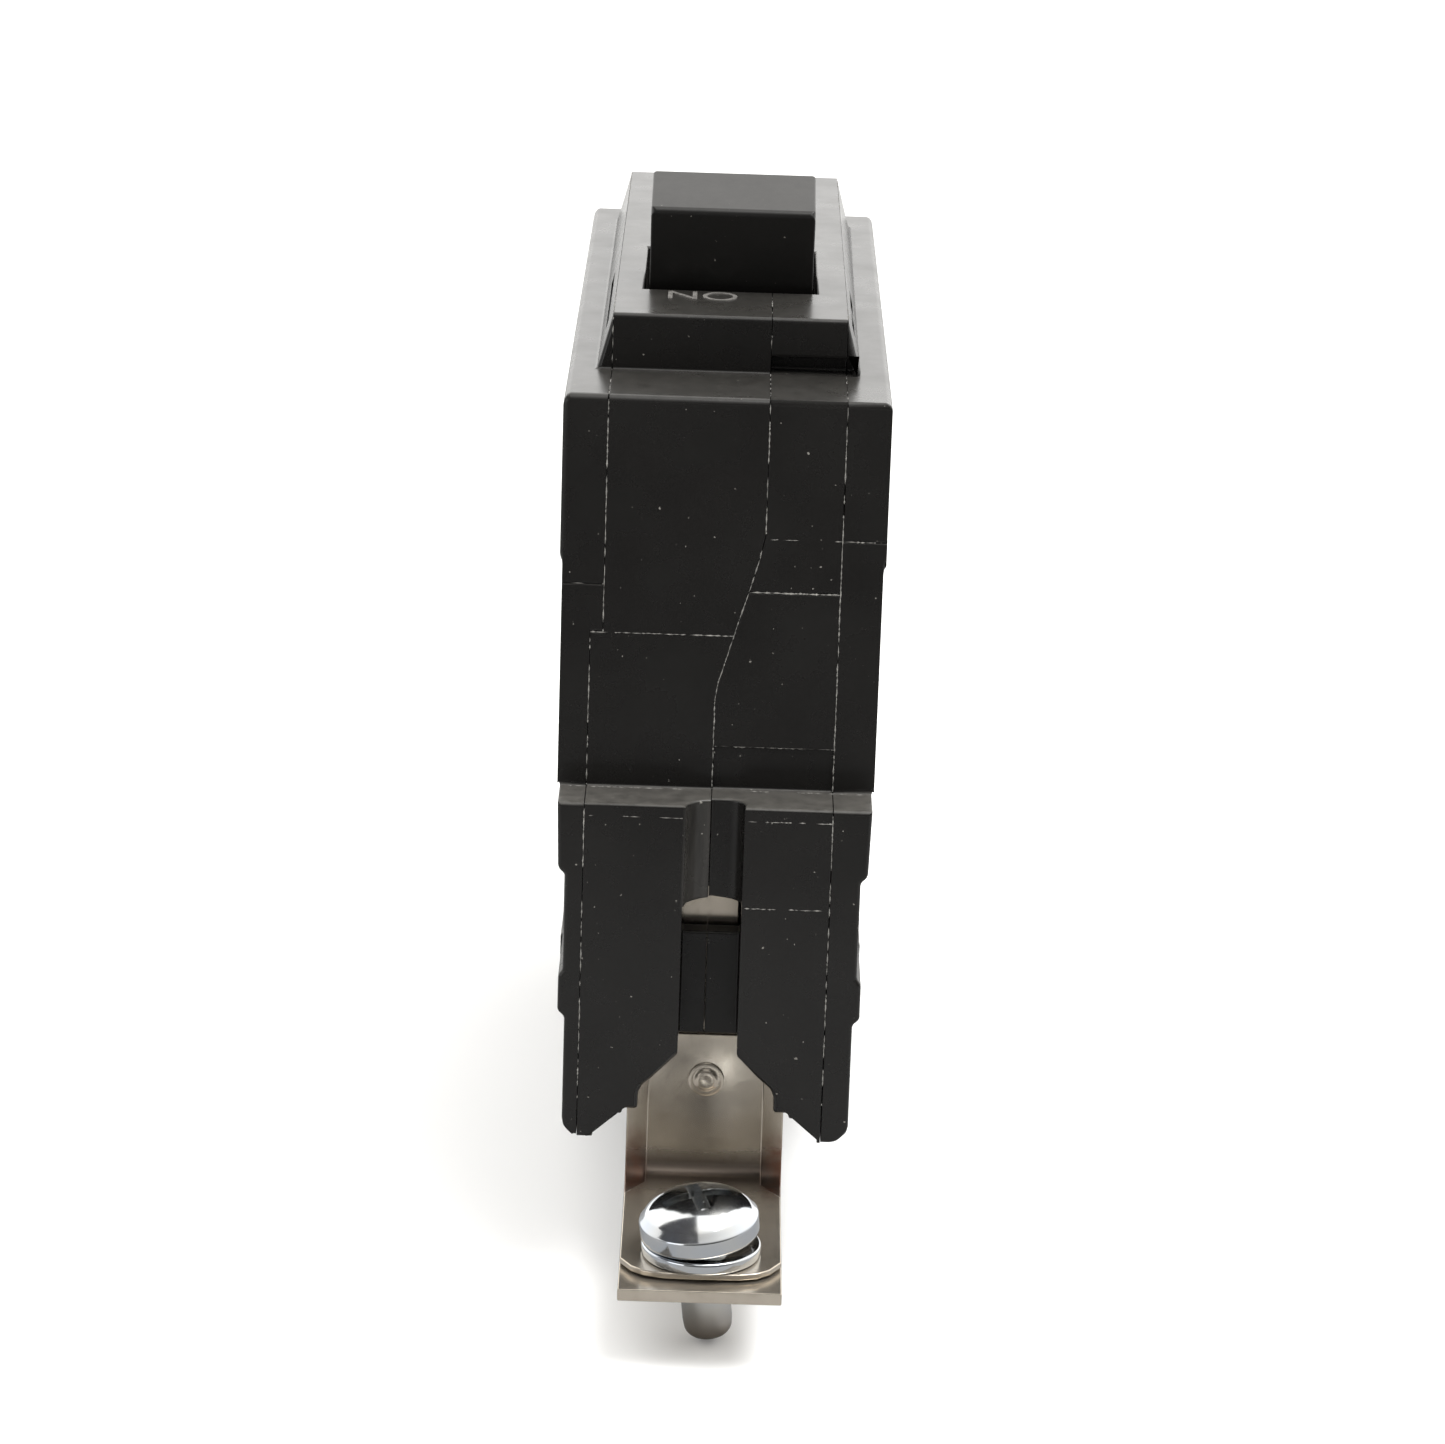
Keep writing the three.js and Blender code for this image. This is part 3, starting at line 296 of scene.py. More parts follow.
MATERIALS = {
    "phenolic": plastic("phenolic_black", (0.0068, 0.0064, 0.006), (0.0092, 0.0087, 0.0081), 0.27),
    "handle": plastic("handle_black", (0.0062, 0.0058, 0.0054), (0.0082, 0.0077, 0.0072), 0.33, 0.03),
    # Pale strips: settled dust, and also the painted highlight along the ledge.
    "dust_and_highlight": speckled("dust_and_highlight_line", (0.13, 0.126, 0.118), (0.27, 0.26, 0.24), 0.85, 1500),
    "mark": speckled("moulded_mark", (0.11, 0.105, 0.098), (0.19, 0.182, 0.17), 0.6, 1500),
    "tin": tinned("tinned_strap"),
    "zinc": zinc("bright_zinc"),
    "zinc_dull": zinc("dull_zinc", 0.22),
    "steel": metal("mechanism_steel", (0.42, 0.42, 0.42), (0.3, 0.3, 0.305), 0.34, (1, 8, 1), (0.16, 0.13, 0.1)),
    "rivet": metal("rivet_zinc", (0.58, 0.575, 0.55), (0.42, 0.42, 0.41), 0.3, (4, 4, 4), (0.2, 0.19, 0.17)),
    "spring": metal("spring_steel", (0.46, 0.45, 0.43), (0.34, 0.33, 0.32), 0.27, (1, 1, 6)),
    "copper": metal("bare_copper", (0.68, 0.3, 0.17), (0.45, 0.19, 0.11), 0.32, (1, 6, 1), (0.2, 0.1, 0.07)),
    "bimetal": metal("bimetal_strip", (0.55, 0.46, 0.3), (0.42, 0.35, 0.24), 0.3, (6, 1, 1)),
    "silver": metal("silver_contact", (0.78, 0.77, 0.74), (0.6, 0.58, 0.55), 0.28, (3, 3, 3), (0.25, 0.2, 0.16)),
    "board": speckled("solder_mask", (0.012, 0.09, 0.03), (0.02, 0.125, 0.045), 0.35, 500, 0.01),
    "ferrite": speckled("coated_core", (0.02, 0.02, 0.021), (0.045, 0.045, 0.044), 0.55, 1200, 0.02),
    "chip": speckled("chip_package", (0.012, 0.012, 0.013), (0.022, 0.022, 0.023), 0.5, 1600, 0.006),
    "blue": speckled("blue_epoxy", (0.01, 0.055, 0.26), (0.015, 0.08, 0.34), 0.3, 420, 0.02),
    "resistor": banded("resistor_body", (0.5, 0.34, 0.19),
                       ((0.25, 0.05, 0.02), (0.02, 0.02, 0.02), (0.6, 0.2, 0.02), (0.5, 0.38, 0.08)), -11.0, 1.1),
    "wire_black": speckled("black_insulation", (0.014, 0.014, 0.014), (0.024, 0.024, 0.023), 0.45, 900),
    "wire_white": speckled("white_insulation", (0.62, 0.6, 0.55), (0.72, 0.7, 0.66), 0.42, 500),
    "button": speckled("button_white", (0.62, 0.6, 0.53), (0.7, 0.685, 0.62), 0.38, 300, 0.008),
    "bobbin": speckled("bobbin_nylon", (0.5, 0.47, 0.4), (0.58, 0.55, 0.47), 0.45, 500),
    "lever": speckled("lever_black", (0.02, 0.02, 0.02), (0.035, 0.035, 0.034), 0.5, 700),
    "coil": winding("coil_winding", (0.55, 0.22, 0.09), (0.16, 0.06, 0.03), 0.35),
    "braid": metal("copper_braid", (0.62, 0.29, 0.17), (0.28, 0.12, 0.07), 0.4, (5, 5, 5), (0.15, 0.07, 0.05),
                   0.03, 2200),
}


# ---------------------------------------------------------------- mesh helpers
def v3(x, y, z):
    return Vector((x * MM, y * MM, z * MM))


def new_object(name, bm, material, sharp=SMOOTH_ANGLE, at=Matrix.Identity(4)):
    """Object from a bmesh, set at a place in the frame, smooth but for edges over the sharp angle."""
    mesh = bpy.data.meshes.new(name)
    bm.transform(at)
    bmesh.ops.recalc_face_normals(bm, faces=bm.faces)
    bm.to_mesh(mesh)
    bm.free()
    mesh.shade_smooth()
    if sharp:
        mesh.set_sharp_from_angle(angle=math.radians(sharp))
    mesh.materials.append(MATERIALS[material])
    piece = bpy.data.objects.new(name, mesh)
    scene.collection.objects.link(piece)
    return piece


def place(piece, node, stands=True):
    """Rides on the body of a CAD node, and stands for the node if it replaces it."""
    if stands:
        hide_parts(node)
    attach(piece, BODY[node])
    return piece


def applied(piece):
    """Bakes a piece's modifiers into its mesh."""
    graph = bpy.context.evaluated_depsgraph_get()
    mesh = bpy.data.meshes.new_from_object(piece.evaluated_get(graph))
    piece.modifiers.clear()
    piece.data = mesh
    return piece


def carve(piece, *cutters):
    """Cuts the cutters out of a piece and removes them."""
    for cutter in cutters:
        modifier = piece.modifiers.new("cut", "BOOLEAN")
        modifier.operation = "DIFFERENCE"
        modifier.solver = "EXACT"
        modifier.object = cutter
    applied(piece)
    for cutter in cutters:
        bpy.data.objects.remove(cutter)
    piece.data.shade_smooth()
    piece.data.set_sharp_from_angle(angle=math.radians(SMOOTH_ANGLE))
    return piece


def lathe(profile, steps=96):
    """Turned mesh about z from (radius, z) points, from axis to axis, or a closed ring if it doesn't touch it."""
    bm = bmesh.new()
    turn = [2 * math.pi * i / steps for i in range(steps)]
    rings = [[bm.verts.new(v3(r * math.cos(t), r * math.sin(t), z)) for t in (turn if r > 0 else turn[:1])]
             for r, z in profile]
    pairs = list(zip(rings, rings[1:]))
    if profile[0][0] > 0:
        pairs.append((rings[-1], rings[0]))
    for low, high in pairs:
        for i in range(steps):
            j = (i + 1) % steps
            corners = [low[i % len(low)], low[j % len(low)], high[j % len(high)], high[i % len(high)]]
            bm.faces.new(dict.fromkeys(corners))
    return bm


def prism(bm, corners, low, high):
    """A four-sided prism on (x, y) corners, added to a bmesh."""
    ends = [[bm.verts.new(v3(x, y, z)) for x, y in corners] for z in (low, high)]
    for end in ends:
        bm.faces.new(end)
    for i in range(4):
        j = (i + 1) % 4
        bm.faces.new([ends[0][i], ends[0][j], ends[1][j], ends[1][i]])
    return bm


def box(x, y, z):
    """Block between two x, two y and two z."""
    return prism(bmesh.new(), [(x[0], y[0]), (x[1], y[0]), (x[1], y[1]), (x[0], y[1])], *z)


def tube(points, radius, sides=8):
    """Round wire through points."""
    bm = bmesh.new()
    path = [v3(*p) for p in points]
    normal = (path[1] - path[0]).orthogonal().normalized()
    rings = []
    for i, p in enumerate(path):
        tangent = (path[min(i + 1, len(path) - 1)] - path[max(i - 1, 0)]).normalized()
        normal = (normal - tangent * normal.dot(tangent)).normalized()
        side = tangent.cross(normal)
        rings.append([bm.verts.new(p + (normal * math.cos(t) + side * math.sin(t)) * radius * MM)
                      for t in (2 * math.pi * k / sides for k in range(sides))])
    for a, b in zip(rings, rings[1:]):
        for k in range(sides):
            bm.faces.new([a[k], a[(k + 1) % sides], b[(k + 1) % sides], b[k]])
    bm.faces.new(rings[0])
    bm.faces.new(rings[-1])
    return bm


def coil(radius, low, high, turns, wire, flat=0.7):
    """Helical spring about z with closed end turns."""
    points = []
    count = int(turns * 24)
    for i in range(count + 1):
        t = i / count
        rise = min(1, max(0, (t * turns - flat) / (turns - 2 * flat)))
        z = low + wire + (high - low - 2 * wire) * rise
        a = 2 * math.pi * turns * t
        points.append((radius * math.cos(a), radius * math.sin(a), z))
    return tube(points, wire)


def mid_x(z):
    """The middle parting line's x at a height."""
    for (x1, z1), (x0, z0) in zip(MID, MID[1:]):
        if z0 <= z <= z1:
            return x0 + (x1 - x0) * (z - z0) / (z1 - z0)
    return MID_LOW


# ---------------------------------------------------------------- CAD forms with rounded edges
def cross_room(edge, vert):
    """Length of the shortest edge that leaves a vertex across this edge, in mm."""
    along = (edge.verts[0].co - edge.verts[1].co).normalized()
    lengths = [e.calc_length() / MM for e in vert.link_edges
               if e is not edge and abs(along.dot((e.verts[0].co - e.verts[1].co).normalized())) < 0.8]
    return min(lengths, default=0)


def fan_of(face, vert, faces):
    """The faces round a vertex that join this one without a sharp edge or turn, taken out of the set."""
    fan, queue = [face], [face]
    while queue:
        for e in queue.pop().edges:
            if vert in e.verts and e.smooth and e.calc_face_angle(0) < math.radians(TURN_ANGLE):
                joined = [f for f in e.link_faces if f in faces]
                faces.difference_update(joined)
                fan += joined
                queue += joined
    return fan


def harden(mesh):
    """Turns each corner's normal to the largest face there, so that flats stay flat beside rounded edges."""
    bm = bmesh.new()
    bm.from_mesh(mesh)
    area = {f: (f.calc_area() / MM ** 2) ** AREA_POWER for f in bm.faces}
    found = {}
    for v in bm.verts:
        faces = set(v.link_faces)
        while faces:
            fan = fan_of(faces.pop(), v, faces)
            normal = sum((f.normal * area[f] for f in fan), Vector()).normalized()
            found.update(((f.index, v.index), normal) for f in fan)
    mesh.normals_split_custom_set([found[p.index, v] for p in mesh.polygons for v in p.vertices])
    bm.free()


def skin(node, material, width=0.15, wanted=None, segments=3):
    """The CAD node's form with its edges rounded, as wide as the faces beside them leave room for."""
    bm = bmesh.new()
    bm.from_mesh(NODES[node].data)
    bmesh.ops.remove_doubles(bm, verts=bm.verts, dist=2e-6)
    bmesh.ops.dissolve_limit(bm, angle_limit=math.radians(1), verts=bm.verts, edges=bm.edges)
    weight = bm.edges.layers.float.new("bevel_weight_edge")
    for e in bm.edges:
        e.smooth = len(e.link_faces) != 2 or e.calc_face_angle(0) < math.radians(SHARP_ANGLE)
        if e.smooth:
            continue
        goal = (wanted(*(v.co / MM for v in e.verts)) if wanted else None) or width
        wide = min(goal, *(ROOM_SHARE * cross_room(e, v) for v in e.verts))
        if wide > LEAST_BEVEL:
            e[weight] = wide / WIDEST_BEVEL
            e.smooth = True
    piece = new_object(node + "_form", bm, material, None)
    modifier = piece.modifiers.new("round", "BEVEL")
    modifier.width = WIDEST_BEVEL * MM
    modifier.segments = segments
    modifier.limit_method = "WEIGHT"
    modifier.use_clamp_overlap = False
    applied(piece)
    low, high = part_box(node)
    for v in piece.data.vertices:
        v.co = [min(max(c, a), b) for c, a, b in zip(v.co, low, high)]
    harden(piece.data)
    return place(piece, node)


def case_edge(p, q):
    """Edge width on the case mouldings, or None for the usual one."""
    m, d = (p + q) / 2, p - q
    upright = abs(d.z) > 4 * abs(d.y)

    def on_seam(v):
        return min(abs(v.x - x) for x in (RIGHT_X, mid_x(v.z), LEFT_X, LEFT_LOW_X)) < 0.06
    if on_seam(p) and on_seam(q) and on_seam(m):
        return SEAM_EDGE
    if m.z < 1.1 and abs(m.x) > 8 and m.y < 0:
        return FOOT_EDGE
    if abs(m.x) > FLANK_X and upright and m.y > SHOULDER_END - 1:
        return WIDEST_BEVEL
    if abs(m.x) > FLANK_X or (m.y < FACE_Y + 0.1 and m.z > TOP - 0.5):
        return OUTER_EDGE
    if m.y < LEG_Y + 0.1 or (m.y < BLOCK_Y + 0.1 and m.z > TOP):
        return FRONT_EDGE
    return None


for name in ("cover_left", "body_left", "body_right", "cover_right"):
    skin(name, "phenolic", 0.22, case_edge)


def handle_edge(p, q):
    """Edge width on the handle's grip, above the block."""
    return 0.4 if min(p.z, q.z) > BLOCK_TOP - 1 else None


skin("handle", "handle", 0.2, handle_edge, 4)
FORMS = {
    "rivet": ("case_rivet_1", "case_rivet_2", "case_rivet_3", "case_rivet_4"),
    "tin": ("line_strap", "line_clip", "load_terminal", "neutral_terminal"),
    "silver": ("stationary_contact", "moving_contact"),
    "steel": ("arc_plate_1", "arc_plate_2", "arc_plate_3", "magnet_yoke", "solenoid_frame", "trip_cradle",
              "armature", "solenoid_plunger"),
    "bimetal": ("bimetal", "test_blade"),
    "copper": ("bimetal_bracket", "contact_arm"),
    "braid": ("flex_braid",),
    "board": ("circuit_board",),
    "ferrite": ("sense_toroid", "ground_toroid"),
    "wire_black": ("load_conductor", "filter_capacitor"),
    "wire_white": ("neutral_conductor",),
    "chip": ("ic_chip", "thyristor"),
    "blue": ("varistor", "timing_capacitor"),
    "resistor": ("test_resistor", "supply_resistor"),
    "zinc_dull": ("load_clamp", "neutral_clamp"),
    "lever": ("trip_lever",),
    "button": ("test_button",),
}
EDGE = {"rivet": 0.2, "blue": 0.5, "resistor": 0.3, "ferrite": 0.5, "button": 0.35, "chip": 0.2, "wire_black": 0.1}
for material, names in FORMS.items():
    for name in names:
        skin(name, material, EDGE.get(material, 0.12))


# ---------------------------------------------------------------- line screw, washer and clip rivet
SCREW = next(j for j in frame["record"]["behaviour"]["joints"] if j["name"] == "line_screw_turn")
SCREW_AXIS = Vector(SCREW["axis"]).normalized()
SCREW_LEAN = Vector((0, 0, 1)).rotation_difference(SCREW_AXIS).to_matrix().to_4x4()
SCREW_TURN = Matrix.Rotation(math.radians(15), 4, "Z")
SCREW_AT = Matrix.Translation(Vector(SCREW["pos_m"])) @ SCREW_LEAN @ SCREW_TURN
SLOT_HALF, CROSS_HALF, DOME = 2.7, 2.1, 3.4


def arc(a, b, ra, rb, start, end, steps):
    """Points on an ellipse's arc about (a, b), angles in degrees."""
    turns = (math.radians(start + (end - start) * i / steps) for i in range(steps + 1))
    return [(a + ra * math.cos(t), b + rb * math.sin(t)) for t in turns]


def line_screw():
    """Round-headed screw with a smooth shank and a cross of one long and one short slot."""
    head = lathe([(0, -9.05), (0.7, -8.98), *arc(0.7, -7.9, 1.2, 1.05, -75, 0, 6), (1.95, -7.4), (1.95, -0.02),
                  (4.35, -0.02), *arc(4.35, 0.33, 0.35, 0.35, -90, 0, 4), (4.7, 1.25),
                  *arc(4.35, 1.3, 0.35, 0.35, 0, 50, 4), *arc(0, 1.3, 4.5, 2.1, 15, 85, 12), (0, DOME)], 128)
    piece = new_object("line_screw_form", head, "zinc", 40, SCREW_AT)
    slot = box((-SLOT_HALF, SLOT_HALF), (-0.5, 0.5), (DOME - 1.1, DOME + 1))
    cross = box((-0.54, 0.54), (-CROSS_HALF, CROSS_HALF), (DOME - 1.4, DOME + 1))
    cutters = [new_object("cutter", bm, "zinc", 40, SCREW_AT) for bm in (slot, cross)]
    carve(piece, *cutters)
    modifier = piece.modifiers.new("round", "BEVEL")
    modifier.width, modifier.segments, modifier.angle_limit = 0.07 * MM, 2, math.radians(48)
    harden(applied(piece).data)
    place(piece, "line_screw")


def line_washer():
    """Flat washer with rolled edges, as thick and wide as its CAD node."""
    low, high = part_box("line_washer")
    r, t, middle = (high.x - low.x) / 2 / MM, (high.z - low.z) / MM, (low + high) / 2
    ring = lathe([(2.4, 0.1), (2.55, 0), (r - 0.25, 0), *arc(r - 0.25, 0.25, 0.25, 0.25, -70, 0, 3),
                  *arc(r - 0.25, t - 0.25, 0.25, 0.25, 0, 90, 4), (2.6, t), (2.4, t - 0.15)], 128)
    at = Matrix.Translation((middle.x, middle.y, low.z))
    place(new_object("line_washer_form", ring, "zinc", 40, at), "line_washer")


def clip_rivet():
    """Rivet along -y with a dimpled, ringed face."""
    low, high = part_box("clip_rivet")
    back, reach = high.y, (high.y - low.y) / MM
    face = reach - 0.6
    profile = [(0, 0), (1.3, 0), (1.45, 0.12), (1.45, 0.6), (0.9, 0.66), (0.9, face)]
    profile += [(r, face + rise) for r, rise in ((1.45, 0.02), (1.45, 0.08), (1.34, 0.16), (1.1, 0.13), (0.95, 0.15),
                                                 (0.84, 0.26), (0.6, 0.33), (0.3, 0.3), (0, 0.28))]
    at = Matrix.Translation((0, back, (low.z + high.z) / 2)) @ Matrix.Rotation(math.pi / 2, 4, "X")
    place(new_object("clip_rivet_form", lathe(profile, 48), "tin", 50, at), "clip_rivet")


line_screw()
line_washer()
clip_rivet()


# ---------------------------------------------------------------- terminal screws, springs and winding
def terminal_screw(prefix):
    """Slotted binding screw with rolled threads, square to the slanted shelf."""
    joint = next(j for j in frame["record"]["behaviour"]["joints"] if j["name"] == prefix + "_screw_turn")
    seat, tip, r, head, thick, pitch = -8.95, -6.5, 1.5, 3.5, 2.6, 0.7
    thread = []
    for i in range(int((-tip - 0.9) / pitch)):
        z = tip + 0.5 + i * pitch
        thread += [(r - 0.28, z), (r, z + pitch * 0.5)]
    bm = lathe([(0, tip), (0.9, tip), *thread, (r - 0.2, -0.2), (r - 0.2, 0), (head - 0.15, 0), (head, 0.15),
                *arc(head - 0.6, thick - 0.6, 0.6, 0.55, 0, 80, 6), (0, thick)], 72)
    at = (Matrix.Translation(Vector(joint["pos_m"])) @ Matrix.Rotation(-math.pi / 4, 4, "X") @
          Matrix.Translation((0, 0, seat * MM)) @ Matrix.Rotation(0.5, 4, "Z"))
    piece = new_object(prefix + "_screw_form", bm, "zinc", 40, at)
    slot = new_object("cutter", box((-4, 4), (-0.5, 0.5), (thick - 1.2, thick + 1)), "zinc", 40, at)
    place(carve(piece, slot), prefix + "_screw")


def axis_spring(node, radius, wire, turns):
    """Compression spring on the upright axis of its CAD node."""
    low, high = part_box(node)
    middle = (low + high) / 2
    bm = coil(radius, 0.04, (high.z - low.z) / MM, turns, wire)
    piece = new_object(node + "_form", bm, "spring", 60, Matrix.Translation((middle.x, middle.y, low.z)))
    place(piece, node)
    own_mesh(piece)


def toggle_spring():
    """Tension spring with hooked ends beside the contact arm."""
    low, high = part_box("toggle_spring")
    middle = (low + high) / 2
    lean = math.atan2(-(low.y - high.y), low.z - high.z)
    half, radius, wire = 5.0, 0.52, 0.16
    bm = coil(radius, -half + 0.9, half - 0.9, 14, wire, 0.2)
    hooks = [(radius, 0, half - 1.05), (0.5, 0, half - 0.6), (0.2, 0, half - 0.25), (-0.3, 0, half - 0.2)]
    for sign in (1, -1):
        hook = tube([(x, y, sign * z) for x, y, z in hooks], wire)
        mesh = bpy.data.meshes.new("hook")
        hook.to_mesh(mesh)
        hook.free()
        bm.from_mesh(mesh)
        bpy.data.meshes.remove(mesh)
    at = Matrix.Translation(middle) @ Matrix.Rotation(lean, 4, "X")
    place(new_object("toggle_spring_form", bm, "spring", 60, at), "toggle_spring")


def solenoid_winding():
    """Bobbin with two flanges, and the wound wire between them."""
    low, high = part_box("solenoid_coil")
    middle, tall, r = (low + high) / 2, (high.z - low.z) / MM, (high.x - low.x) / 2 / MM
    bore, core, flange, round_r = 1.65, 2.2, 0.6, (0.4, 0.3)
    at = Matrix.Translation((middle.x, middle.y, low.z))
    bobbin = lathe([(bore, 0), (r, 0), (r, flange), (core, flange), (core, tall - flange), (r, tall - flange),
                    (r, tall), (bore, tall)])
    place(new_object("solenoid_bobbin", bobbin, "bobbin", SMOOTH_ANGLE, at), "solenoid_coil")
    wound = lathe([(2.25, 0.65), *arc(r - 0.6, 0.95, *round_r, -90, 0, 4),
                   *arc(r - 0.6, tall - 0.95, *round_r, 0, 90, 4), (2.25, tall - 0.65)])
    place(new_object("solenoid_winding", wound, "coil", SMOOTH_ANGLE, at), "solenoid_coil")


terminal_screw("load")
terminal_screw("neutral")
axis_spring("plunger_spring", 1.9, 0.17, 5.5)
axis_spring("test_spring", 1.2, 0.12, 4.5)
toggle_spring()
solenoid_winding()


# ---------------------------------------------------------------- settled dust, a painted highlight on the ledge and moulded letters
LONG_RANGE, WIDE_RANGE, STEP_RANGE = (0.3, 1.4), (0.5, 1.1), (0.45, 0.85)
SWAY, SINK, PEAK = 0.02, 0.01, 0.03


def dust_and_highlight(bm, start, end, normal, width, cover):
    """A broken line of small pale crumbs along a seam from start to end, on a face with that normal; it draws
    settled dust and also a painted highlight.
    """
    a, b, n = (Vector(p) for p in (start, end, normal))
    along = (b - a).normalized()
    across = along.cross(n).normalized()
    s, total = 0.0, (b - a).length
    while s < total:
        long = min(rng.uniform(*LONG_RANGE), total - s)
        wide = width * rng.uniform(*WIDE_RANGE) / 2
        if rng.random() < cover and long > 0.05:
            p, q = a + along * s, a + along * (s + long)
            m = (p + q) / 2 + across * rng.uniform(-SWAY, SWAY)
            ring = [bm.verts.new((c - n * SINK) * MM) for c in (p, m + across * wide, q, m - across * wide)]
            peak = bm.verts.new((m + n * PEAK) * MM)
            bm.faces.new(ring)
            for i in range(4):
                bm.faces.new([ring[i], ring[(i + 1) % 4], peak])
        s += long * rng.uniform(*STEP_RANGE)


def seam_dust_and_highlights():
    """Broken pale lines of dust along the parting lines, the pressed lines on the front and the block, and a painted
    highlight line along the ledge.
    """
    front, up = (0, -1, 0), (0, 0, 1)
    face, leg = FACE_Y - 0.005, LEG_Y - 0.005
    bm = bmesh.new()
    upright = [(LEFT_X, face, TOP - 0.3, STEP_Z, 0.14, 0.75), (LEFT_LOW_X, face, STEP_Z, LEDGE_Z, 0.13, 0.7),
               (LEFT_LOW_X, leg, LEDGE_Z - 0.4, 3.2, 0.13, 0.6), (RIGHT_X, face, TOP - 0.3, LEDGE_Z, 0.14, 0.85),
               (RIGHT_X, leg, LEDGE_Z - 0.4, 3.2, 0.13, 0.7)]
    for x, y, high, low, width, cover in upright:
        dust_and_highlight(bm, (x, y, high), (x, y, low), front, width, cover)
    seam = [(x, z) for x, z in MID if LEDGE_Z < z < TOP]
    line = [(MID_TOP, TOP - 0.3), *seam, (MID_LOW, LEDGE_Z)]
    for (x0, z0), (x1, z1) in zip(line, line[1:]):
        dust_and_highlight(bm, (x0, face, z0), (x1, face, z1), front, 0.13, 0.75)
    level = [(LEFT_LOW_X, mid_x(STEP_Z), STEP_Z, face, 0.14, 0.85), (mid_x(44.1), RIGHT_X, 44.1, face, 0.17, 0.95),
             (MID_LOW, RIGHT_X, 31.45, face + 0.1, 0.17, 0.95), (MID_TOP, RIGHT_X, 48.4, face, 0.1, 0.45),
             (RIGHT_X, 11.8, 48.4, face, 0.15, 0.95), (-11.8, LEFT_X, 44.4, face, 0.1, 0.45),
             (2.5, RIGHT_X, 19.6, leg, 0.14, 0.85), (2.5, RIGHT_X, 26.8, leg, 0.14, 0.7),
             (-9.9, -2.5, 26.9, leg, 0.1, 0.5)]
    for x0, x1, z, y, width, cover in level:
        dust_and_highlight(bm, (x0, y, z), (x1, y, z), front, width, cover)
    # Painted highlight: a pale strip on the ledge, along the foot of the front face, stands in for light caught by
    # the ledge's edge.
    for x0, x1 in ((-11.6, -2.6), (2.6, 11.6)):
        dust_and_highlight(bm, (x0, FACE_Y - 0.25, LEDGE_Z + 0.005), (x1, FACE_Y - 0.25, LEDGE_Z + 0.005), up, 0.3, 0.85)
    for x in (LEFT_X, MID_TOP, RIGHT_X):
        dust_and_highlight(bm, (x, FACE_Y + 0.3, TOP + 0.005), (x, BLOCK_Y - 0.1, TOP + 0.005), up, 0.12, 0.6)
        dust_and_highlight(bm, (x, BLOCK_Y + 0.3, BLOCK_TOP + 0.005), (x, -23.5, BLOCK_TOP + 0.005), up, 0.12, 0.5)
        dust_and_highlight(bm, (x, 13, BLOCK_TOP + 0.005), (x, BLOCK_END - 0.4, BLOCK_TOP + 0.005), up, 0.12, 0.5)
    for x in (LEFT_X, MID_TOP):
        dust_and_highlight(bm, (x, BLOCK_Y - 0.005, TOP + 0.3), (x, BLOCK_Y - 0.005, BLOCK_TOP - 0.3), front, 0.1, 0.4)
    place(new_object("seam_dust_and_highlights", bm, "dust_and_highlight", None), "body_left", False)


def stroke(bm, p, q, wide, low, high):
    """Raised bar from one (x, y) to another."""
    a, b = Vector((*p, 0)), Vector((*q, 0))
    side = (b - a).normalized().cross(Vector((0, 0, 1))) * wide / 2
    prism(bm, [(c.x, c.y) for c in (a + side, b + side, b - side, a - side)], low, high)


def moulded_on():
    """The raised word beside the handle's on place, read from the load end."""
    low, high, y0, y1, wide = BLOCK_TOP - 0.03, BLOCK_TOP + 0.1, -25.1, -22.5, 0.36
    left, right, middle, radius = -4.87, -2.91, -0.91, 1.26
    lift = 0.002    # so that no two strokes share a plane
    bm = bmesh.new()
    bars = (((left, y0), (left, y1)), ((right, y0), (right, y1)),
            ((left + 0.02, y1 - 0.15), (right - 0.02, y0 + 0.15)))
    for i, (p, q) in enumerate(bars):
        stroke(bm, p, q, wide, low + lift * i, high + lift * i)
    letter_n = new_object("letter_n", bm, "mark")
    place(letter_n, "body_left", False)
    ring = lathe([(radius - wide / 2, low), (radius + wide / 2, low), (radius + wide / 2, high - 0.02),
                  (radius, high), (radius - wide / 2, high - 0.02)], 64)
    at = Matrix.Translation(v3(middle, (y0 + y1) / 2, 0)) @ Matrix.Diagonal((0.96, 1.02, 1, 1))
    place(new_object("letter_o", ring, "mark", 40, at), "body_left", False)


seam_dust_and_highlights()
moulded_on()


# ---------------------------------------------------------------- camera and studio
CAMERA_LENS, CAMERA_TURN, CAMERA_SPOT = 120.85, (0.153, 17.365, -1.899), (-0.6055, -402.746, 147.059)
WORLD_UP, WORLD_RANGE, WORLD_STRENGTH = (0.0, 0.62, 0.78), (-0.4, 0.75), (0.12, 2.2)
FLOOR_HALF, CARD_HALF = 6000, 900


def camera():
    """Camera as fitted to the photograph's view of the part: yaw, pitch and roll in degrees, spot in mm."""
    data = bpy.data.cameras.new("camera")
    data.sensor_width = 36
    data.sensor_fit = "HORIZONTAL"
    data.lens = CAMERA_LENS
    data.clip_start = 0.01
    data.clip_end = 20
    yaw, pitch, roll = (math.radians(a) for a in CAMERA_TURN)
    forward = Vector((math.sin(yaw) * math.cos(pitch), math.cos(yaw) * math.cos(pitch), -math.sin(pitch)))
    right = Vector((math.cos(yaw), -math.sin(yaw), 0))
    down = forward.cross(right)
    r = right * math.cos(roll) + down * math.sin(roll)
    d = down * math.cos(roll) - right * math.sin(roll)
    item = bpy.data.objects.new("camera", data)
    turn = Matrix((r, -d, -forward)).transposed().to_4x4()
    item.matrix_world = Matrix.Translation(v3(*CAMERA_SPOT)) @ turn
    scene.collection.objects.link(item)
    scene.camera = item


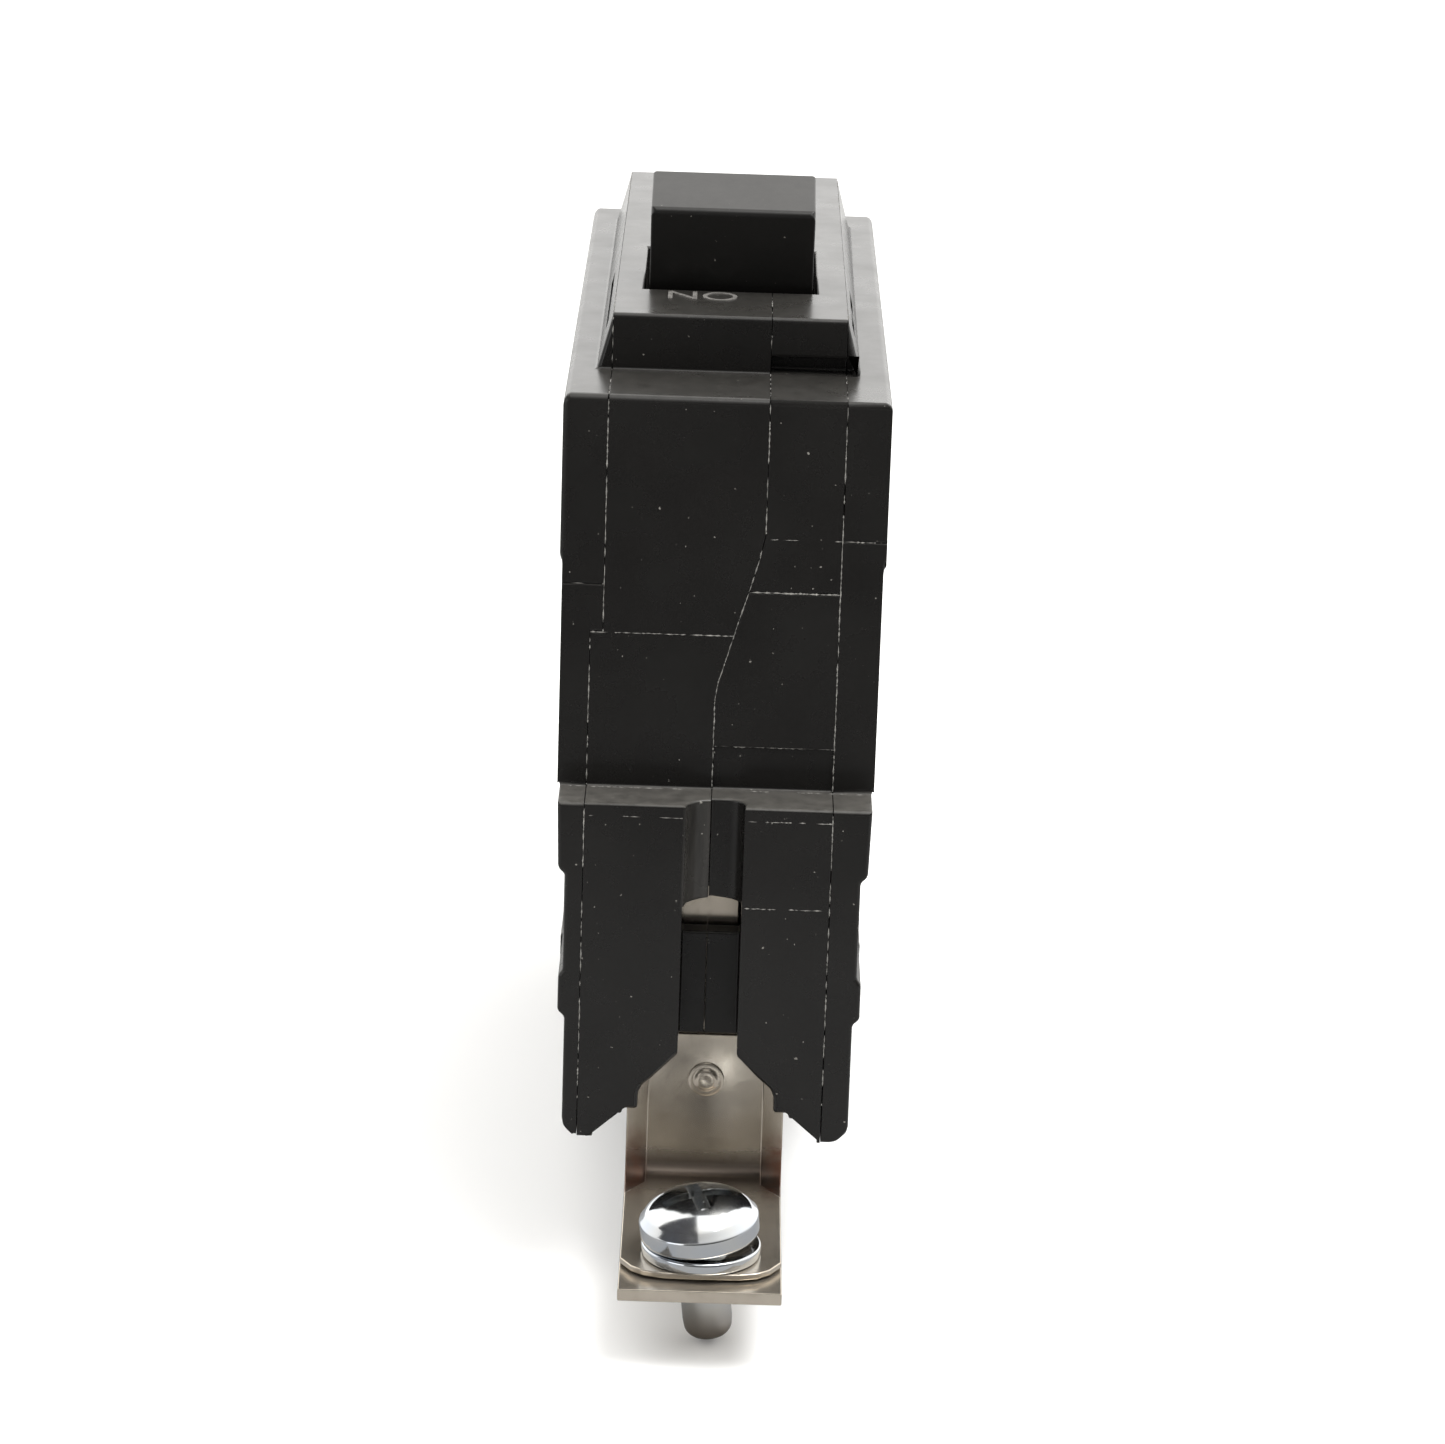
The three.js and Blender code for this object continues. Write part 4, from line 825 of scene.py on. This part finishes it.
def world():
    """Bright above and behind, dim in front, and plain white where the camera sees past the floor."""
    w = bpy.data.worlds.new("studio")
    scene.world = w
    w.use_nodes = True
    nodes, links = w.node_tree.nodes, w.node_tree.links
    coord = nodes.new("ShaderNodeTexCoord")
    dot = nodes.new("ShaderNodeVectorMath")
    dot.operation = "DOT_PRODUCT"
    dot.inputs[1].default_value = WORLD_UP
    links.new(coord.outputs["Generated"], dot.inputs[0])
    ramp = nodes.new("ShaderNodeMapRange")
    ramp.interpolation_type = "SMOOTHSTEP"
    for key, value in zip(("From Min", "From Max", "To Min", "To Max"), (*WORLD_RANGE, *WORLD_STRENGTH)):
        ramp.inputs[key].default_value = value
    links.new(dot.outputs["Value"], ramp.inputs["Value"])
    path = nodes.new("ShaderNodeLightPath")
    mix = nodes.new("ShaderNodeMix")
    mix.data_type = "FLOAT"
    links.new(path.outputs["Is Camera Ray"], mix.inputs["Factor"])
    links.new(ramp.outputs["Result"], mix.inputs["A"])
    mix.inputs["B"].default_value = 1.0
    back = nodes["Background"]
    links.new(mix.outputs["Result"], back.inputs["Strength"])
    back.inputs["Color"].default_value = (1.0, 0.992, 0.975, 1)


def softbox(name, spot, aim, size, power):
    """Rectangular area light at a spot, turned to an aim."""
    data = bpy.data.lights.new(name, "AREA")
    data.shape = "RECTANGLE"
    data.size, data.size_y = (s * MM for s in size)
    data.energy = power
    item = bpy.data.objects.new(name, data)
    item.location = v3(*spot)
    item.rotation_euler = (v3(*aim) - v3(*spot)).to_track_quat("-Z", "Y").to_euler()
    scene.collection.objects.link(item)


def sheet(name, tones, x, y, z):
    """A flat stage sheet between two x and two y."""
    bm = bmesh.new()
    bm.faces.new([bm.verts.new(v3(a, b, z)) for a, b in ((x[0], y[0]), (x[1], y[0]), (x[1], y[1]), (x[0], y[1]))])
    mesh = bpy.data.meshes.new(name)
    bm.to_mesh(mesh)
    bm.free()
    g = Graph(name + "_paper")
    g.height((g.noise(900, 3), 0.01))
    mesh.materials.append(g.finish(g.mix(g.ramp(g.noise(14, 3), 0.3, 0.7), *tones), 0.85))
    item = bpy.data.objects.new(name, mesh)
    scene.collection.objects.link(item)
    return item


def stage():
    """Pale floor, with cards that only reflections see: the front of the studio and one side overhead are dim."""
    low = CAD_BOX[0][2] / MM - 0.3
    floor, wide = (-FLOOR_HALF, FLOOR_HALF), (-CARD_HALF, CARD_HALF)
    sheet("floor", ((0.86, 0.86, 0.855), (0.88, 0.88, 0.875)), floor, floor, low)
    cards = (sheet("shade_card", ((0.05, 0.05, 0.055), (0.07, 0.07, 0.08)), (-700, -50), (-420, 30), 320),
             sheet("dark_card", ((0.03, 0.03, 0.03), (0.04, 0.04, 0.04)), wide, (-1400, -150), low + 0.1),
             sheet("grey_card", ((0.29, 0.29, 0.29), (0.32, 0.32, 0.32)), wide, (-150, 400), low + 0.1))
    for card in cards:
        card.visible_camera = card.visible_diffuse = card.visible_shadow = card.visible_transmission = False


camera()
world()
softbox("key", (160, -120, 420), (0, -20, 30), (260, 200), 1.6)
softbox("fill", (-260, -300, 60), (0, -40, 20), (200, 200), 0.25)
stage()
scene.view_settings.view_transform = "Standard"
